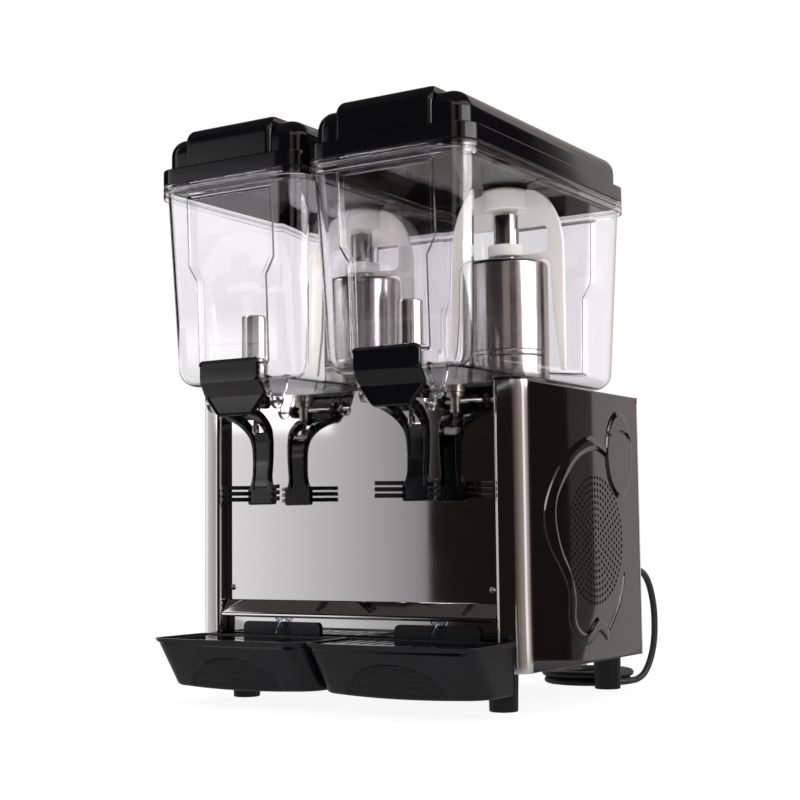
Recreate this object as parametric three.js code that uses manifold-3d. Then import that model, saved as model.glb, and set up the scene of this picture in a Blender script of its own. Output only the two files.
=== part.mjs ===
// Double juice dispenser, a twin-bowl cold drink machine for a counter.
// Millimetres, +Z up, +X to the viewer's right, +Y to the back. z = 0 is the floor under the feet, and
// the origin is in the middle of the machine's outline, cord not counted.
// Left and right are the viewer's, seen from the taps.

import * as THREE from 'three';
import { mergeVertices } from 'three/addons/utils/BufferGeometryUtils.js';
import Module from 'manifold-3d';

const wasm = await Module();
wasm.setup();

// Cabinet
const cabinetWidth = 430;
const cabinetDepth = 300;
const cabinetHeight = 304.6;
const footHeight = 42;
const footTopRadius = 16.5;
const footBottomRadius = 15.5;
const footFluteDepth = 0.8;
const footFlutes = 12;
const footSideInset = 44.6;
const footFrontInset = 22.6;
const footRearInset = 15.3;
const fit = 0.3;
const sheet = 1.5;
const wall = 3;
const overrun = 5;
const basePanHeight = 20;

// Front columns and their caps
const columnWidth = 33;
const columnProud = 13;
const columnRoundWidth = 27;
const columnRoundDepth = 18.7;
const columnInnerRound = 4.5;
const capThickness = 3;
const capOverhang = 0.8;
const capPlugDepth = 8;
const capPlugPlay = 0.5;

// Rear strips
const rearStripWidth = 15;
const rearStripDepth = 13.2;
const rearStripDrop = 6.9;

// Front panel, ledge and lower panel
const ledgeTopHeight = 113.5;
const ledgeLowHeight = 98;
const ledgeProud = 11.3;
const ledgeLip = 3;
const ledgeSideGap = 1.5;
const lowerPanelRecess = 2.5;

// Tray hangers
const hangerWidth = 107;
const hangerTopHeight = 89;
const hangerDrop = 29;
const hangerRound = 6;
const hangerThickness = 3;
const tongueWidth = 92;
const tongueThickness = 3.4;
const tongueLength = 11;
const tongueHeight = 62;
const tonguePlay = 0.4;

// Drip trays and grids
const trayGap = 2;
const trayRimHeight = 75;
const trayBottomHeight = 21;
const trayFrontReach = 110;
const trayFrontLean = 30;
const trayRearReach = 16;
const trayCorner = 20;
const trayRearCorner = 4;
const trayWall = 2.5;
const trayFlange = 2;
const trayFlangeHeight = 4;
const traySideInset = 1.5;
const heelWidth = 104;
const heelHeight = 19;
const recessHalfWidth = 64;
const recessHeight = 35;
const recessDepth = 2.4;
const recessRibs = 5;
const recessRibHeight = 2.6;
const gridDrop = 5;
const gridThickness = 3;
const gridShelf = 2;
const gridPlay = 0.5;
const gridSlots = 11;
const gridSlotWidth = 8;
const gridBorder = 12;

// Side panels: round vent, oval plate and moulded sweep
const ventY = 14.8;
const ventHeight = 177.9;
const ventRadius = 74.3;
const ventRings = 4;
const ventSlotsPerRing = 5;
const ventSlotWidth = 8;
const ventBridge = 9;
const ovalY = 83;
const ovalHeight = 276;
const ovalHalfDepth = 38.5;
const ovalHalfHeight = 51;
const ovalRecess = 1.2;
const sweepDepth = 1.2;

// Rear panel louvres
const louvreColumns = 2;
const louvreRows = 7;
const louvreWidth = 120;
const louvreHeight = 6;
const louvrePitch = 18;
const louvreLowHeight = 170;

// Evaporators
const evaporatorRadius = 48;
const evaporatorHeight = 157;
const evaporatorToRear = 130;
const evaporatorWall = 2.5;
const evaporatorRound = 5;
const evaporatorFlange = 12;
const evaporatorFlangeThickness = 5;
const tubeRadius = 14.75;
const tubeHeight = 58;
const sealThickness = 4.2;
const sealWidth = 9;
const sealPlay = 0.4;

// Bowls
const bowlGap = 1;
const bowlSideInset = 9.3;
const bowlFrontOverhang = 103.8;
const bowlRearOverhang = 1.7;
const bowlHeight = 229.4;
const bowlWall = 3;
const bowlCorner = 28;
const bowlLipHeight = 14.4;
const bowlLipInset = 5.5;
const bowlBaseInset = 14;
const bowlBaseCorner = 24;
const bowlEdgeRadius = 20;
const bowlHolePlay = 2;
const panelDepth = 7;
const panelTopDrop = 17.4;
const panelShoulderDrop = 94.9;
const panelWaistDrop = 113.4;
const panelFoot = 23;
const panelTopHalfWidth = 55;
const panelLowHalfWidth = 44;
const earThickness = 5;
const earTopWidth = 35;
const earBottomWidth = 20;
const earDrop = 31;
const earRise = 18;

// Tap: standpipe, nozzle, piston and spring
const tapForward = 47;
const standpipeRadius = 14.5;
const standpipeHeight = 74;
const standpipeBore = 11;
const standpipeCrown = 4;
const standpipePortWidth = 8;
const standpipePortHeight = 16;
const standpipePortRise = 5;
const nozzleFlangeRadius = 12;
const nozzleCollarRadius = 9.5;
const nozzleTubeRadius = 5.6;
const nozzleNeckRadius = 7.7;
const nozzleBore = 4.2;
const nozzleFlangeDrop = 14;
const nozzleCollarDrop = 20;
const nozzleTubeDrop = 37;
const nozzleNeckRise = 1.8;
const rodRadius = 2.5;
const rodTipRadius = 1.6;
const rodConeRadius = 4;
const rodConeLow = 3;
const rodConeHigh = 12;
const pistonRadius = 10.4;
const pistonHeight = 12;
const springRadius = 8.4;
const springThickness = 1.8;

// Levers
const pivotForward = 20;
const pivotDrop = 23;
const pinRadius = 2;
const pinOverhang = 4;
const leverPlay = 1.2;
const leverHeadHalfWidth = 41;
const leverHeadLow = 22;
const leverHeadHeight = 25;
const leverHeadThickness = 4;
const leverHeadRound = 5;
const leverHeadClearance = 2.2;
const leverPlate = 4;
const leverBandHalfWidth = 38;
const leverBandLow = 8.3;
const leverFaceForward = 16.5;
const leverSkirtHalfWidth = 26;
const leverSkirtDrop = 8.2;
const leverLipHalfWidth = 18.5;
const leverLipDrop = 16;
const leverLipForward = 14;
const cheekThickness = 6;
const cheekHigh = 11;
const cheekLow = 7;
const cheekBack = 6;
const armInnerX = 11;
const armThickness = 6;
const armHighShare = 0.12;
const stemForwardY = 33;
const stemThickness = 6;
const stemHalfWidth = 13;
const shelfDrop = 34.3;
const shelfThickness = 7;
const shelfForward = 5;
const padTopDrop = 91;
const padHeight = 21.4;
const padHalfWidth = 18.3;
const padForward = 4;
const padRound = 3;
const barHeights = [3.3, 3.5, 4.5];
const barDrops = [91, 96.4, 103];
const barReach = 23.4;
const barSweep = 16;
const barThickness = 3.4;

// Lids
const lidFlangeHeight = 18;
const lidInset = 8.5;
const lidCorner = 22;
const lidShoulderLow = 35.4;
const lidShoulderRadius = 20;
const lidWall = 3;
const lidSkirtDepth = 6;
const lidSkirtPlay = 0.6;
const bulgeHalfWidth = 60;
const bulgeFrontInset = 3.8;
const bulgeRearInset = 12;
const bulgeLow = 44.3;
const bulgeRadius = 18;
const plateauRise = 2.4;
const plateauLeft = 35;
const plateauRight = 40;
const plateauFrontInset = 26;
const plateauRearInset = 34;
const plateauRound = 8;
const lidBossRadius = 25;
const lidBossWall = 3;
const lidBossDrop = 38;

// Agitators and their drive
const bladeClearance = 10.6;
const bladeThickness = 5;
const bladeBottomDrop = 130;
const bladeBarRise = 2;
const bladeBarHeight = 7;
const bladeBarSlope = 6;
const bladeInnerShares = [0.37, 0.48, 0.8];
const bladeMidDrop = 67;
const bladeShoulderRise = 11;
const bladeCrownRadius = 28;
const windowHalfWidth = 55;
const windowHeight = 33;
const windowRound = 8;
const agitatorRingRadius = 22;
const agitatorRingHeight = 12;
const agitatorPlay = 0.85;
const agitatorCapRadius = 28.5;
const agitatorCapLow = 4;
const agitatorCapHeight = 26;
const agitatorCapRound = 6;
const agitatorCapRoof = 4;
const shaftRadius = 4;
const shaftPlay = 0.3;
const shaftTopPlay = 1;
const tubeBore = 6;
const deckHoleRadius = 7;
const motorRadius = 32;
const motorHeight = 60;
const motorBossRadius = 5;
const motorBossLength = 5;

// Cooling unit
const compressorRadius = 58;
const compressorHeight = 135;
const compressorRound = 22;
const compressorSideInset = 105;
const compressorRearInset = 120;
const condenserThickness = 42;
const condenserWidth = 170;
const condenserTopGap = 16;
const fanMotorRadius = 22;
const fanMotorLength = 32;
const fanHubRadius = 16;
const fanHubLength = 14;
const fanRadius = 66;
const fanBlades = 5;
const fanBladeThickness = 2.4;
const fanBladeRootWidth = 16;
const fanBladeTipWidth = 40;
const fanBladeTipRound = 10;
const fanPitch = 24 * Math.PI / 180;
const fanPanelGap = 15.4;

// Rocker switches
const rockerCount = 3;
const rockerPitch = 23;
const rockerWidth = 18;
const rockerHalfLength = 14;
const rockerDepth = 9;
const rockerPivotDepth = 4;
const rockerHollow = 0.8;
const rockerPlay = 0.8;
const rockerTilt = 6 * Math.PI / 180;

// Mains cord
const cordDiameter = 8;
const cordExitInset = 27;
const cordExitHeight = 139;
const reliefFlangeRadius = 13;
const reliefFlangeThickness = 4;
const reliefNeckRadius = 7;
const reliefNeckLength = 5;
const reliefRadius = 8;
const reliefTipRadius = 5.2;
const reliefLength = 34;
const coilX = 118;
const coilY = 196;
const coilPitch = 8.6;
const coilMiddleRadius = 44;
const coilLayerTurns = 2.75;
const coilLayers = 2;
const plugLength = 36;
const plugWidth = 24;
const plugThickness = 17;
const plugRound = 6;
const plugSleeveLength = 30;
const plugSleeveTipRadius = 4.2;
const plugSleeveRadius = 6.5;
const plugPinRadius = 2.4;
const plugPinLength = 19;
const plugPinSpacing = 14;

// Levels and lines that the pieces share
const halfWidth = cabinetWidth / 2;
const frontY = -cabinetDepth / 2;
const rearY = cabinetDepth / 2;
const baseZ = footHeight + fit;
const deckZ = baseZ + cabinetHeight;
const columnFrontY = frontY - columnProud;
const sideFrontY = columnFrontY + columnRoundDepth;
const sideRearY = rearY - rearStripDepth;
const innerHalfWidth = halfWidth - wall - fit;
const deckFrontY = frontY + sheet + fit;
const deckRearY = rearY - sheet - fit;
const lowerPanelY = frontY + lowerPanelRecess;
const panFloorZ = baseZ + wall;

const bowlWidth = halfWidth - bowlSideInset - bowlGap / 2;
const bowlX = (bowlGap / 2 + halfWidth - bowlSideInset) / 2;
const bowlFrontY = frontY - bowlFrontOverhang;
const bowlRearY = rearY + bowlRearOverhang;
const flangeZ = deckZ + fit;
const sealZ = flangeZ + evaporatorFlangeThickness + fit;
const bowlZ = sealZ + sealThickness + fit;
const bowlFloorZ = bowlZ + bowlWall;
const rimZ = bowlZ + bowlHeight;
const lipZ = rimZ - bowlLipHeight;
const edgeZ = bowlZ + bowlEdgeRadius;

const evaporatorY = rearY - evaporatorToRear;
const evaporatorTopZ = flangeZ + evaporatorHeight;
const tubeTopZ = evaporatorTopZ + tubeHeight;
const bladeRadius = bowlWidth / 2 - bowlBaseInset - bowlWall - bladeClearance;

const tapY = frontY - tapForward;
const pivotY = tapY - pivotForward;
const pivotZ = bowlZ - pivotDrop;
const shelfZ = pivotZ - shelfDrop;
const rodTipZ = shelfZ + fit;
const neckTopZ = bowlFloorZ + nozzleNeckRise;
const pistonZ = neckTopZ + fit;
const standpipeTopZ = bowlFloorZ + fit + standpipeHeight;
const standpipeRoofZ = standpipeTopZ - standpipeCrown;

const hangerFrontY = lowerPanelY - fit - hangerThickness;
const trayFrontY = frontY - trayFrontReach;
const trayRearY = frontY - trayRearReach;
const trayX = bowlX;
const trayHalfWidth = bowlX - trayGap / 2;

// The machine's outline runs from the trays' front flange to the bowls' rear
const shiftY = -(trayFrontY - trayFlange + bowlRearY) / 2;

const quarter = Math.PI / 2;

// Points and outlines

const at = (x, y) => new THREE.Vector2(x, y);

// Points on an elliptical arc, both ends included
function arc(centreX, centreY, radiusX, radiusY, from, to, steps) {
  return Array.from({ length: steps + 1 }, (_, i) => {
    const angle = from + (to - from) * i / steps;
    return at(centreX + radiusX * Math.cos(angle), centreY + radiusY * Math.sin(angle));
  });
}

// A full ellipse, its last point left off
function ellipse(centreX, centreY, radiusX, radiusY, steps) {
  return arc(centreX, centreY, radiusX, radiusY, 0, 2 * Math.PI, steps).slice(0, -1);
}

// A rectangle whose four corners are rounded
function roundedBox(x0, x1, y0, y1, radius, steps = 3) {
  return [
    ...arc(x1 - radius, y0 + radius, radius, radius, -quarter, 0, steps),
    ...arc(x1 - radius, y1 - radius, radius, radius, 0, quarter, steps),
    ...arc(x0 + radius, y1 - radius, radius, radius, quarter, 2 * quarter, steps),
    ...arc(x0 + radius, y0 + radius, radius, radius, 2 * quarter, 3 * quarter, steps),
  ];
}

function box(x0, x1, y0, y1) {
  return [at(x0, y0), at(x1, y0), at(x1, y1), at(x0, y1)];
}

// Offsets an open path to its left by a thickness, with mitred corners, and closes the band between
function strip(path, thickness) {
  const normals = path.slice(1).map((point, i) => {
    const run = point.clone().sub(path[i]).normalize();
    return at(-run.y, run.x);
  });
  const inner = path.map((point, i) => {
    const before = normals[Math.max(i - 1, 0)];
    const after = normals[Math.min(i, normals.length - 1)];
    const middle = before.clone().add(after).normalize();
    return point.clone().addScaledVector(middle, thickness / middle.dot(before));
  });
  return [...path, ...inner.reverse()];
}

const mirroredX = (outline) => outline.map((point) => at(-point.x, point.y)).reverse();

// Solids

// Welds a closed geometry, drops its collapsed triangles, turns its faces outwards and makes it a solid
function solid(geometry) {
  geometry.deleteAttribute('normal');
  geometry.deleteAttribute('uv');
  const welded = mergeVertices(geometry);
  const points = Float32Array.from(welded.attributes.position.array);
  const source = welded.index.array;
  const corners = [];
  let volume = 0;
  for (let i = 0; i < source.length; i += 3) {
    const [a, b, c] = [source[i], source[i + 1], source[i + 2]];
    if (a === b || b === c || c === a) continue;
    corners.push(a, b, c);
    const [p, q, r] = [a, b, c].map((k) => new THREE.Vector3().fromArray(points, 3 * k));
    volume += p.dot(q.cross(r));
  }
  if (volume < 0) corners.reverse();
  return new wasm.Manifold(new wasm.Mesh({
    numProp: 3,
    vertProperties: points,
    triVerts: Uint32Array.from(corners),
  }));
}

// An outline carried straight from low to high along an axis. Its plane is (x, y) along z, (y, z) along x
// and (x, z) along y.
function prism(axis, outline, low, high) {
  const geometry = new THREE.ExtrudeGeometry(new THREE.Shape(outline), {
    depth: high - low,
    bevelEnabled: false,
  });
  if (axis === 'y') {
    geometry.translate(0, 0, -high).rotateX(quarter);
  } else {
    geometry.translate(0, 0, low);
  }
  if (axis === 'x') geometry.rotateX(quarter).rotateZ(quarter);
  return solid(geometry);
}

// What is inside both a front outline in (x, z) and a side outline in (y, z)
function frontAndSide(front, side) {
  const xs = front.map((point) => point.x);
  const ys = side.map((point) => point.x);
  const deep = prism('y', front, Math.min(...ys) - overrun, Math.max(...ys) + overrun);
  const wide = prism('x', side, Math.min(...xs) - overrun, Math.max(...xs) + overrun);
  return deep.intersect(wide);
}

// Rings of one outline's points at rising heights, joined to a closed body
function loft(rings) {
  const count = rings[0].outline.length;
  const positions = rings.flatMap(({ outline, z }) => outline.flatMap((point) => [point.x, point.y, z]));
  const index = [];
  for (let ring = 0; ring + 1 < rings.length; ring += 1) {
    for (let i = 0; i < count; i += 1) {
      const next = (i + 1) % count;
      const [a, b] = [ring * count + i, ring * count + next];
      const [c, d] = [b + count, a + count];
      index.push(a, b, c, a, c, d);
    }
  }
  const last = (rings.length - 1) * count;
  for (const face of THREE.ShapeUtils.triangulateShape(rings[0].outline, [])) {
    index.push(face[0], face[2], face[1]);
  }
  for (const face of THREE.ShapeUtils.triangulateShape(rings.at(-1).outline, [])) {
    index.push(last + face[0], last + face[1], last + face[2]);
  }
  const geometry = new THREE.BufferGeometry();
  geometry.setAttribute('position', new THREE.Float32BufferAttribute(positions, 3));
  geometry.setIndex(index);
  return solid(geometry);
}

// A profile of [radius, height] turned about the vertical line at (x, y)
function turned(profile, segments, x = 0, y = 0) {
  const points = profile.map(([radius, height]) => at(radius, height));
  const geometry = new THREE.LatheGeometry(points, segments);
  return solid(geometry.rotateX(quarter).translate(x, y, 0));
}

const disc = (radius, low, high, segments, x = 0, y = 0) => (
  turned([[0, low], [radius, low], [radius, high], [0, high]], segments, x, y)
);

const join = (pieces) => pieces.reduce((whole, piece) => whole.add(piece));

// Finishes

const finish = (color, roughness, metalness) => ({ color, roughness, metalness });
const blackGloss = finish(0x0b0b0d, 0.18, 0);
const blackMatt = finish(0x151517, 0.55, 0);
const mirrorSteel = finish(0xc9c6c4, 0.06, 1);
const brushedSteel = finish(0xb4b0ac, 0.3, 1);
const clearPlastic = { ...finish(0xe6e2ec, 0.05, 0), transparent: true, opacity: 0.3 };
const whitePlastic = finish(0xf0eeec, 0.4, 0);
const greyRubber = finish(0x3b3a3c, 0.8, 0);
const blackPaint = finish(0x1c1c1e, 0.5, 0.2);

const machine = new THREE.Group();
machine.position.y = shiftY;

function add(parent, name, shape, look) {
  const { vertProperties, triVerts } = shape.getMesh();
  const geometry = new THREE.BufferGeometry();
  geometry.setAttribute('position', new THREE.BufferAttribute(vertProperties, 3));
  geometry.setIndex(new THREE.BufferAttribute(triVerts, 1));
  geometry.computeVertexNormals();
  const mesh = new THREE.Mesh(geometry, new THREE.MeshStandardMaterial(look));
  mesh.name = name;
  parent.add(mesh);
  return mesh;
}

// Cabinet

// Plan of what fills the cabinet from a front line to the rear panel, cut off inside the rear corners
function cabinetPlan(front, inset = 0) {
  const half = innerHalfWidth - inset;
  const corner = halfWidth - rearStripWidth - fit - inset;
  const path = [at(half, front + inset), at(half, sideRearY - fit - inset), at(corner, deckRearY - inset)];
  return [...path, ...mirroredX(path)];
}

function basePan() {
  const front = lowerPanelY + sheet + fit;
  const block = prism('z', cabinetPlan(front), baseZ, baseZ + basePanHeight);
  const inner = prism('z', cabinetPlan(front, wall), panFloorZ, baseZ + basePanHeight + overrun);
  return block.subtract(inner);
}

// A round foot whose side is fluted, a little narrower at the floor
function foot(x, y) {
  const fluted = (radius) => Array.from({ length: 2 * footFlutes }, (_, i) => {
    const angle = Math.PI * i / footFlutes;
    const reach = radius - (i % 2) * footFluteDepth;
    return at(x + reach * Math.cos(angle), y + reach * Math.sin(angle));
  });
  return loft([
    { outline: fluted(footBottomRadius), z: 0 },
    { outline: fluted(footTopRadius), z: footHeight },
  ]);
}

// Plan of the right column's outer face: inner leg, front and the large outer rounding
function columnPath(grow = 0) {
  const innerX = halfWidth - columnWidth - grow;
  const face = columnFrontY - grow;
  const round = columnInnerRound + grow;
  return [
    at(innerX, frontY + sheet),
    ...arc(innerX + round, face + round, round, round, 2 * quarter, 3 * quarter, 3),
    ...arc(
      halfWidth - columnRoundWidth, sideFrontY,
      columnRoundWidth + grow, columnRoundDepth + grow, 3 * quarter, 4 * quarter, 9,
    ),
  ];
}

function column() {
  return prism('z', strip(columnPath(), sheet), baseZ, deckZ);
}

function columnCap() {
  const plate = prism('z', columnPath(capOverhang), deckZ + fit, deckZ + fit + capThickness);
  const plug = prism('z', columnPath(-sheet - capPlugPlay), deckZ - capPlugDepth, deckZ + fit + capThickness);
  const behind = prism(
    'z', box(0, halfWidth, frontY, frontY + sheet + overrun),
    deckZ - capPlugDepth - overrun, deckZ + fit + capThickness + overrun,
  );
  return plate.add(plug.subtract(behind));
}

// The rear strips wrap the rear corners and stop under the deck's corner blocks
function rearStrip() {
  const innerX = halfWidth - rearStripWidth;
  const path = [
    ...arc(innerX, sideRearY, rearStripWidth, rearStripDepth, 0, quarter, 5),
  ];
  return prism('z', strip(path, sheet), baseZ, deckZ - rearStripDrop);
}

function topDeck() {
  const plate = prism('z', cabinetPlan(deckFrontY), deckZ - wall, deckZ);
  const innerX = halfWidth - rearStripWidth;
  const corner = [
    at(innerX, sideRearY),
    ...arc(innerX, sideRearY, rearStripWidth, rearStripDepth, 0, quarter, 5),
  ];
  const blocks = [corner, mirroredX(corner)].map((outline) => (
    prism('z', outline, deckZ - rearStripDrop + fit, deckZ)
  ));
  const holes = [-bowlX, bowlX].map((x) => (
    disc(deckHoleRadius, deckZ - wall - overrun, deckZ + overrun, 20, x, evaporatorY)
  ));
  return join([plate, ...blocks]).subtract(join(holes));
}

function frontPanel() {
  const half = halfWidth - columnWidth - fit;
  return prism('z', box(-half, half, frontY, frontY + sheet), ledgeTopHeight + fit, deckZ);
}

// One bent sheet: the ledge slopes forward and down, turns back at a lip and drops as the lower panel
function dripLedge() {
  const half = halfWidth - columnWidth - ledgeSideGap;
  const ledgeY = frontY - ledgeProud;
  const path = [
    at(frontY, ledgeTopHeight),
    at(ledgeY, ledgeLowHeight),
    at(ledgeY, ledgeLowHeight - ledgeLip),
    at(lowerPanelY, ledgeLowHeight - ledgeLip),
    at(lowerPanelY, baseZ),
  ];
  return prism('x', strip(path, sheet), -half, half);
}

function trayBracket(x) {
  const half = hangerWidth / 2;
  const top = hangerTopHeight;
  const round = hangerRound;
  const front = [
    at(-half, top - hangerDrop),
    at(half, top - hangerDrop),
    ...arc(half - round, top - round, round, round, 0, quarter, 3),
    ...arc(-half + round, top - round, round, round, quarter, 2 * quarter, 3),
  ];
  const plate = prism('y', front, hangerFrontY, hangerFrontY + hangerThickness);
  const tongueBox = box(-tongueWidth / 2, tongueWidth / 2, tongueHeight, tongueHeight + tongueThickness);
  const tongue = prism('y', tongueBox, hangerFrontY - tongueLength, hangerFrontY + hangerThickness / 2);
  return plate.add(tongue).translate(x, 0, 0);
}

// The moulded sweep starts over the oval plate, runs forward and down round the vent and hooks in
// under it. Its outline is given as shares of the vent's radius, from the vent's centre.
const sweepOuterShares = [
  [0.22, 1.45], [-0.17, 1.56], [-0.76, 1.36], [-1.32, 1.02], [-1.69, 0.58], [-1.76, 0.3],
  [-1.62, -0.05], [-1.25, -0.42], [-1.01, -0.73], [-0.99, -1.18], [-0.76, -1.44], [-0.36, -1.53],
];
const sweepInnerShares = [
  [-0.02, -1.22], [-0.24, -1.31], [-0.46, -1.35], [-0.75, -1.16], [-0.74, -0.83], [-0.86, -0.5],
  [-1.17, -0.08], [-1.34, 0.3], [-1.3, 0.59], [-1.02, 0.92], [-0.57, 1.24], [0, 1.38], [0.43, 1.29],
];

// Arc slots on rings round the vent's centre, in (y, z)
function ventSlots() {
  const ringPitch = ventRadius / (ventRings + 1 / 2);
  return Array.from({ length: ventRings }, (_, ring) => {
    const radius = ringPitch * (ring + 1);
    const [inner, outer] = [radius - ventSlotWidth / 2, radius + ventSlotWidth / 2];
    const step = 2 * Math.PI / ventSlotsPerRing;
    const half = step / 2 - ventBridge / 2 / radius;
    const steps = ring < 2 ? 2 : 3;
    return Array.from({ length: ventSlotsPerRing }, (_, slot) => {
      const middle = step * (slot + ring / 2);
      return [
        ...arc(ventY, ventHeight, outer, outer, middle - half, middle + half, steps),
        ...arc(ventY, ventHeight, inner, inner, middle + half, middle - half, steps),
      ];
    });
  }).flat();
}

function sidePanel() {
  const plate = prism('x', box(sideFrontY + fit, sideRearY - fit, baseZ, deckZ), halfWidth - wall, halfWidth);
  const slots = ventSlots().map((outline) => (
    prism('x', outline, halfWidth - wall - overrun, halfWidth + overrun)
  ));
  const sweep = [...sweepOuterShares, ...sweepInnerShares].map(([alongShare, upShare]) => (
    at(ventY + ventRadius * alongShare, ventHeight + ventRadius * upShare)
  ));
  const oval = ellipse(ovalY, ovalHeight, ovalHalfDepth, ovalHalfHeight, 20);
  const outside = halfWidth + overrun;
  return plate
    .subtract(join(slots))
    .subtract(prism('x', sweep, halfWidth - sweepDepth, outside))
    .subtract(prism('x', oval, halfWidth - ovalRecess, outside));
}

const rockerPlaces = Array.from({ length: rockerCount }, (_, i) => (
  ovalY + (i - (rockerCount - 1) / 2) * rockerPitch
));

// The left panel has an opening for each rocker in its oval
function leftSidePanel() {
  const halfHeight = rockerHalfLength + rockerPlay;
  const openings = rockerPlaces.map((y) => prism(
    'x',
    box(y - rockerWidth / 2 - rockerPlay, y + rockerWidth / 2 + rockerPlay,
      ovalHeight - halfHeight, ovalHeight + halfHeight),
    -halfWidth - overrun, -halfWidth + wall + overrun,
  ));
  return sidePanel().mirror([1, 0, 0]).subtract(join(openings));
}

const cordExitX = halfWidth - cordExitInset;

function rearPanel() {
  const half = halfWidth - rearStripWidth - fit;
  const gapX = (2 * half - louvreColumns * louvreWidth) / (louvreColumns + 1);
  const outlines = [
    ellipse(cordExitX, cordExitHeight, reliefNeckRadius + fit, reliefNeckRadius + fit, 16),
  ];
  for (let column = 0; column < louvreColumns; column += 1) {
    const left = -half + gapX + column * (louvreWidth + gapX);
    for (let row = 0; row < louvreRows; row += 1) {
      const low = louvreLowHeight + row * louvrePitch;
      outlines.push(box(left, left + louvreWidth, low, low + louvreHeight));
    }
  }
  const cuts = outlines.map((outline) => prism('y', outline, rearY - sheet - overrun, rearY + overrun));
  return prism('y', box(-half, half, baseZ, deckZ), rearY - sheet, rearY).subtract(join(cuts));
}

// Evaporators, their drive and the bowl seals

function evaporator() {
  const radius = evaporatorRadius;
  const top = evaporatorTopZ;
  const round = evaporatorRound;
  const inner = radius - evaporatorWall;
  return turned([
    [inner, flangeZ],
    [radius + evaporatorFlange, flangeZ],
    [radius + evaporatorFlange, flangeZ + evaporatorFlangeThickness],
    [radius, flangeZ + evaporatorFlangeThickness],
    ...arc(radius - round, top - round, round, round, 0, quarter, 2).map((p) => [p.x, p.y]),
    [tubeRadius, top],
    [tubeRadius, tubeTopZ],
    [tubeBore, tubeTopZ],
    [tubeBore, top - evaporatorWall],
    [inner, top - evaporatorWall],
    [inner, flangeZ],
  ], 24);
}

function bowlSeal() {
  const inner = evaporatorRadius + sealPlay;
  return turned([
    [inner, sealZ],
    [inner + sealWidth, sealZ],
    [inner + sealWidth, sealZ + sealThickness],
    [inner, sealZ + sealThickness],
    [inner, sealZ],
  ], 24);
}

const motorTopZ = deckZ - wall - fit;
const motorLowZ = motorTopZ - motorHeight - motorBossLength;
const shaftZ = motorTopZ + fit;
const shaftTopZ = tubeTopZ + agitatorCapLow + agitatorCapHeight - agitatorCapRoof - shaftTopPlay;

function driveMotor() {
  return join([
    disc(motorRadius, motorTopZ - motorHeight, motorTopZ, 20),
    disc(motorBossRadius, motorLowZ, motorTopZ, 12),
  ]);
}

const driveShaft = () => disc(shaftRadius, shaftZ, shaftTopZ, 12);

// Two blades in one plane, joined by a crown at the top and a bar over the cylinder, on a cap and a ring
function agitator() {
  const [innerTop, innerMiddle, innerLow] = bladeInnerShares.map((share) => (
    evaporatorRadius + (bladeRadius - evaporatorRadius) * share
  ));
  const barZ = evaporatorTopZ + bladeBarRise;
  const crownZ = tubeTopZ + agitatorCapLow + agitatorCapHeight - agitatorCapRoof / 2;
  const shoulderZ = evaporatorTopZ + bladeShoulderRise;
  const half = [
    at(0, barZ),
    at(innerTop - bladeBarSlope, barZ),
    at(innerTop, barZ - bladeBarSlope),
    at(innerMiddle, evaporatorTopZ - bladeMidDrop),
    at(innerLow, evaporatorTopZ - bladeBottomDrop),
    at(bladeRadius, evaporatorTopZ - bladeBottomDrop),
    ...arc(
      bladeCrownRadius, shoulderZ,
      bladeRadius - bladeCrownRadius, crownZ - shoulderZ, 0, quarter, 6,
    ),
  ];
  const outline = [...half, ...mirroredX(half).slice(0, -1)];
  const windowZ = barZ + bladeBarHeight;
  const opening = roundedBox(
    -windowHalfWidth, windowHalfWidth, windowZ, windowZ + windowHeight, windowRound, 2,
  );
  const thick = bladeThickness / 2;
  const plate = prism('y', outline, -thick, thick).subtract(prism('y', opening, -overrun, overrun));
  const capZ = tubeTopZ + agitatorCapLow;
  const capTop = capZ + agitatorCapHeight;
  const roundTop = arc(
    agitatorCapRadius - agitatorCapRound, capTop - agitatorCapRound,
    agitatorCapRound, agitatorCapRound, 0, quarter, 2,
  ).map((p) => [p.x, p.y]);
  const cap = turned([[0, capZ], [agitatorCapRadius, capZ], ...roundTop, [0, capTop]], 18);
  const ring = disc(agitatorRingRadius, windowZ - 2 * agitatorPlay, windowZ + agitatorRingHeight, 18);
  const tubeHole = disc(tubeRadius + agitatorPlay, barZ - overrun, capZ - agitatorPlay, 18);
  const shaftHole = disc(
    shaftRadius + shaftPlay, barZ - overrun, capTop - agitatorCapRoof, 12,
  );
  return join([plate, cap, ring]).subtract(tubeHole).subtract(shaftHole);
}

// Bowls

const edgeSteps = 3;

// The rim outline drawn in by an inset, with its own corner radius
function bowlRing(inset, corner) {
  return roundedBox(
    -bowlWidth / 2 + inset, bowlWidth / 2 - inset,
    bowlFrontY + inset, bowlRearY - inset, corner,
  );
}

// Rings that turn a flat bottom up into the walls
function bowlEdge(inset, corner, radius, low) {
  return Array.from({ length: edgeSteps + 1 }, (_, i) => {
    const angle = quarter * i / edgeSteps;
    const back = radius * (1 - Math.sin(angle));
    return { outline: bowlRing(inset + back, corner - back), z: low + radius * (1 - Math.cos(angle)) };
  });
}

// The front wall's outer face at a height
function bowlFaceY(z) {
  const share = (z - edgeZ) / (lipZ - edgeZ);
  return bowlFrontY + bowlBaseInset + (bowlLipInset - bowlBaseInset) * share;
}

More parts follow.
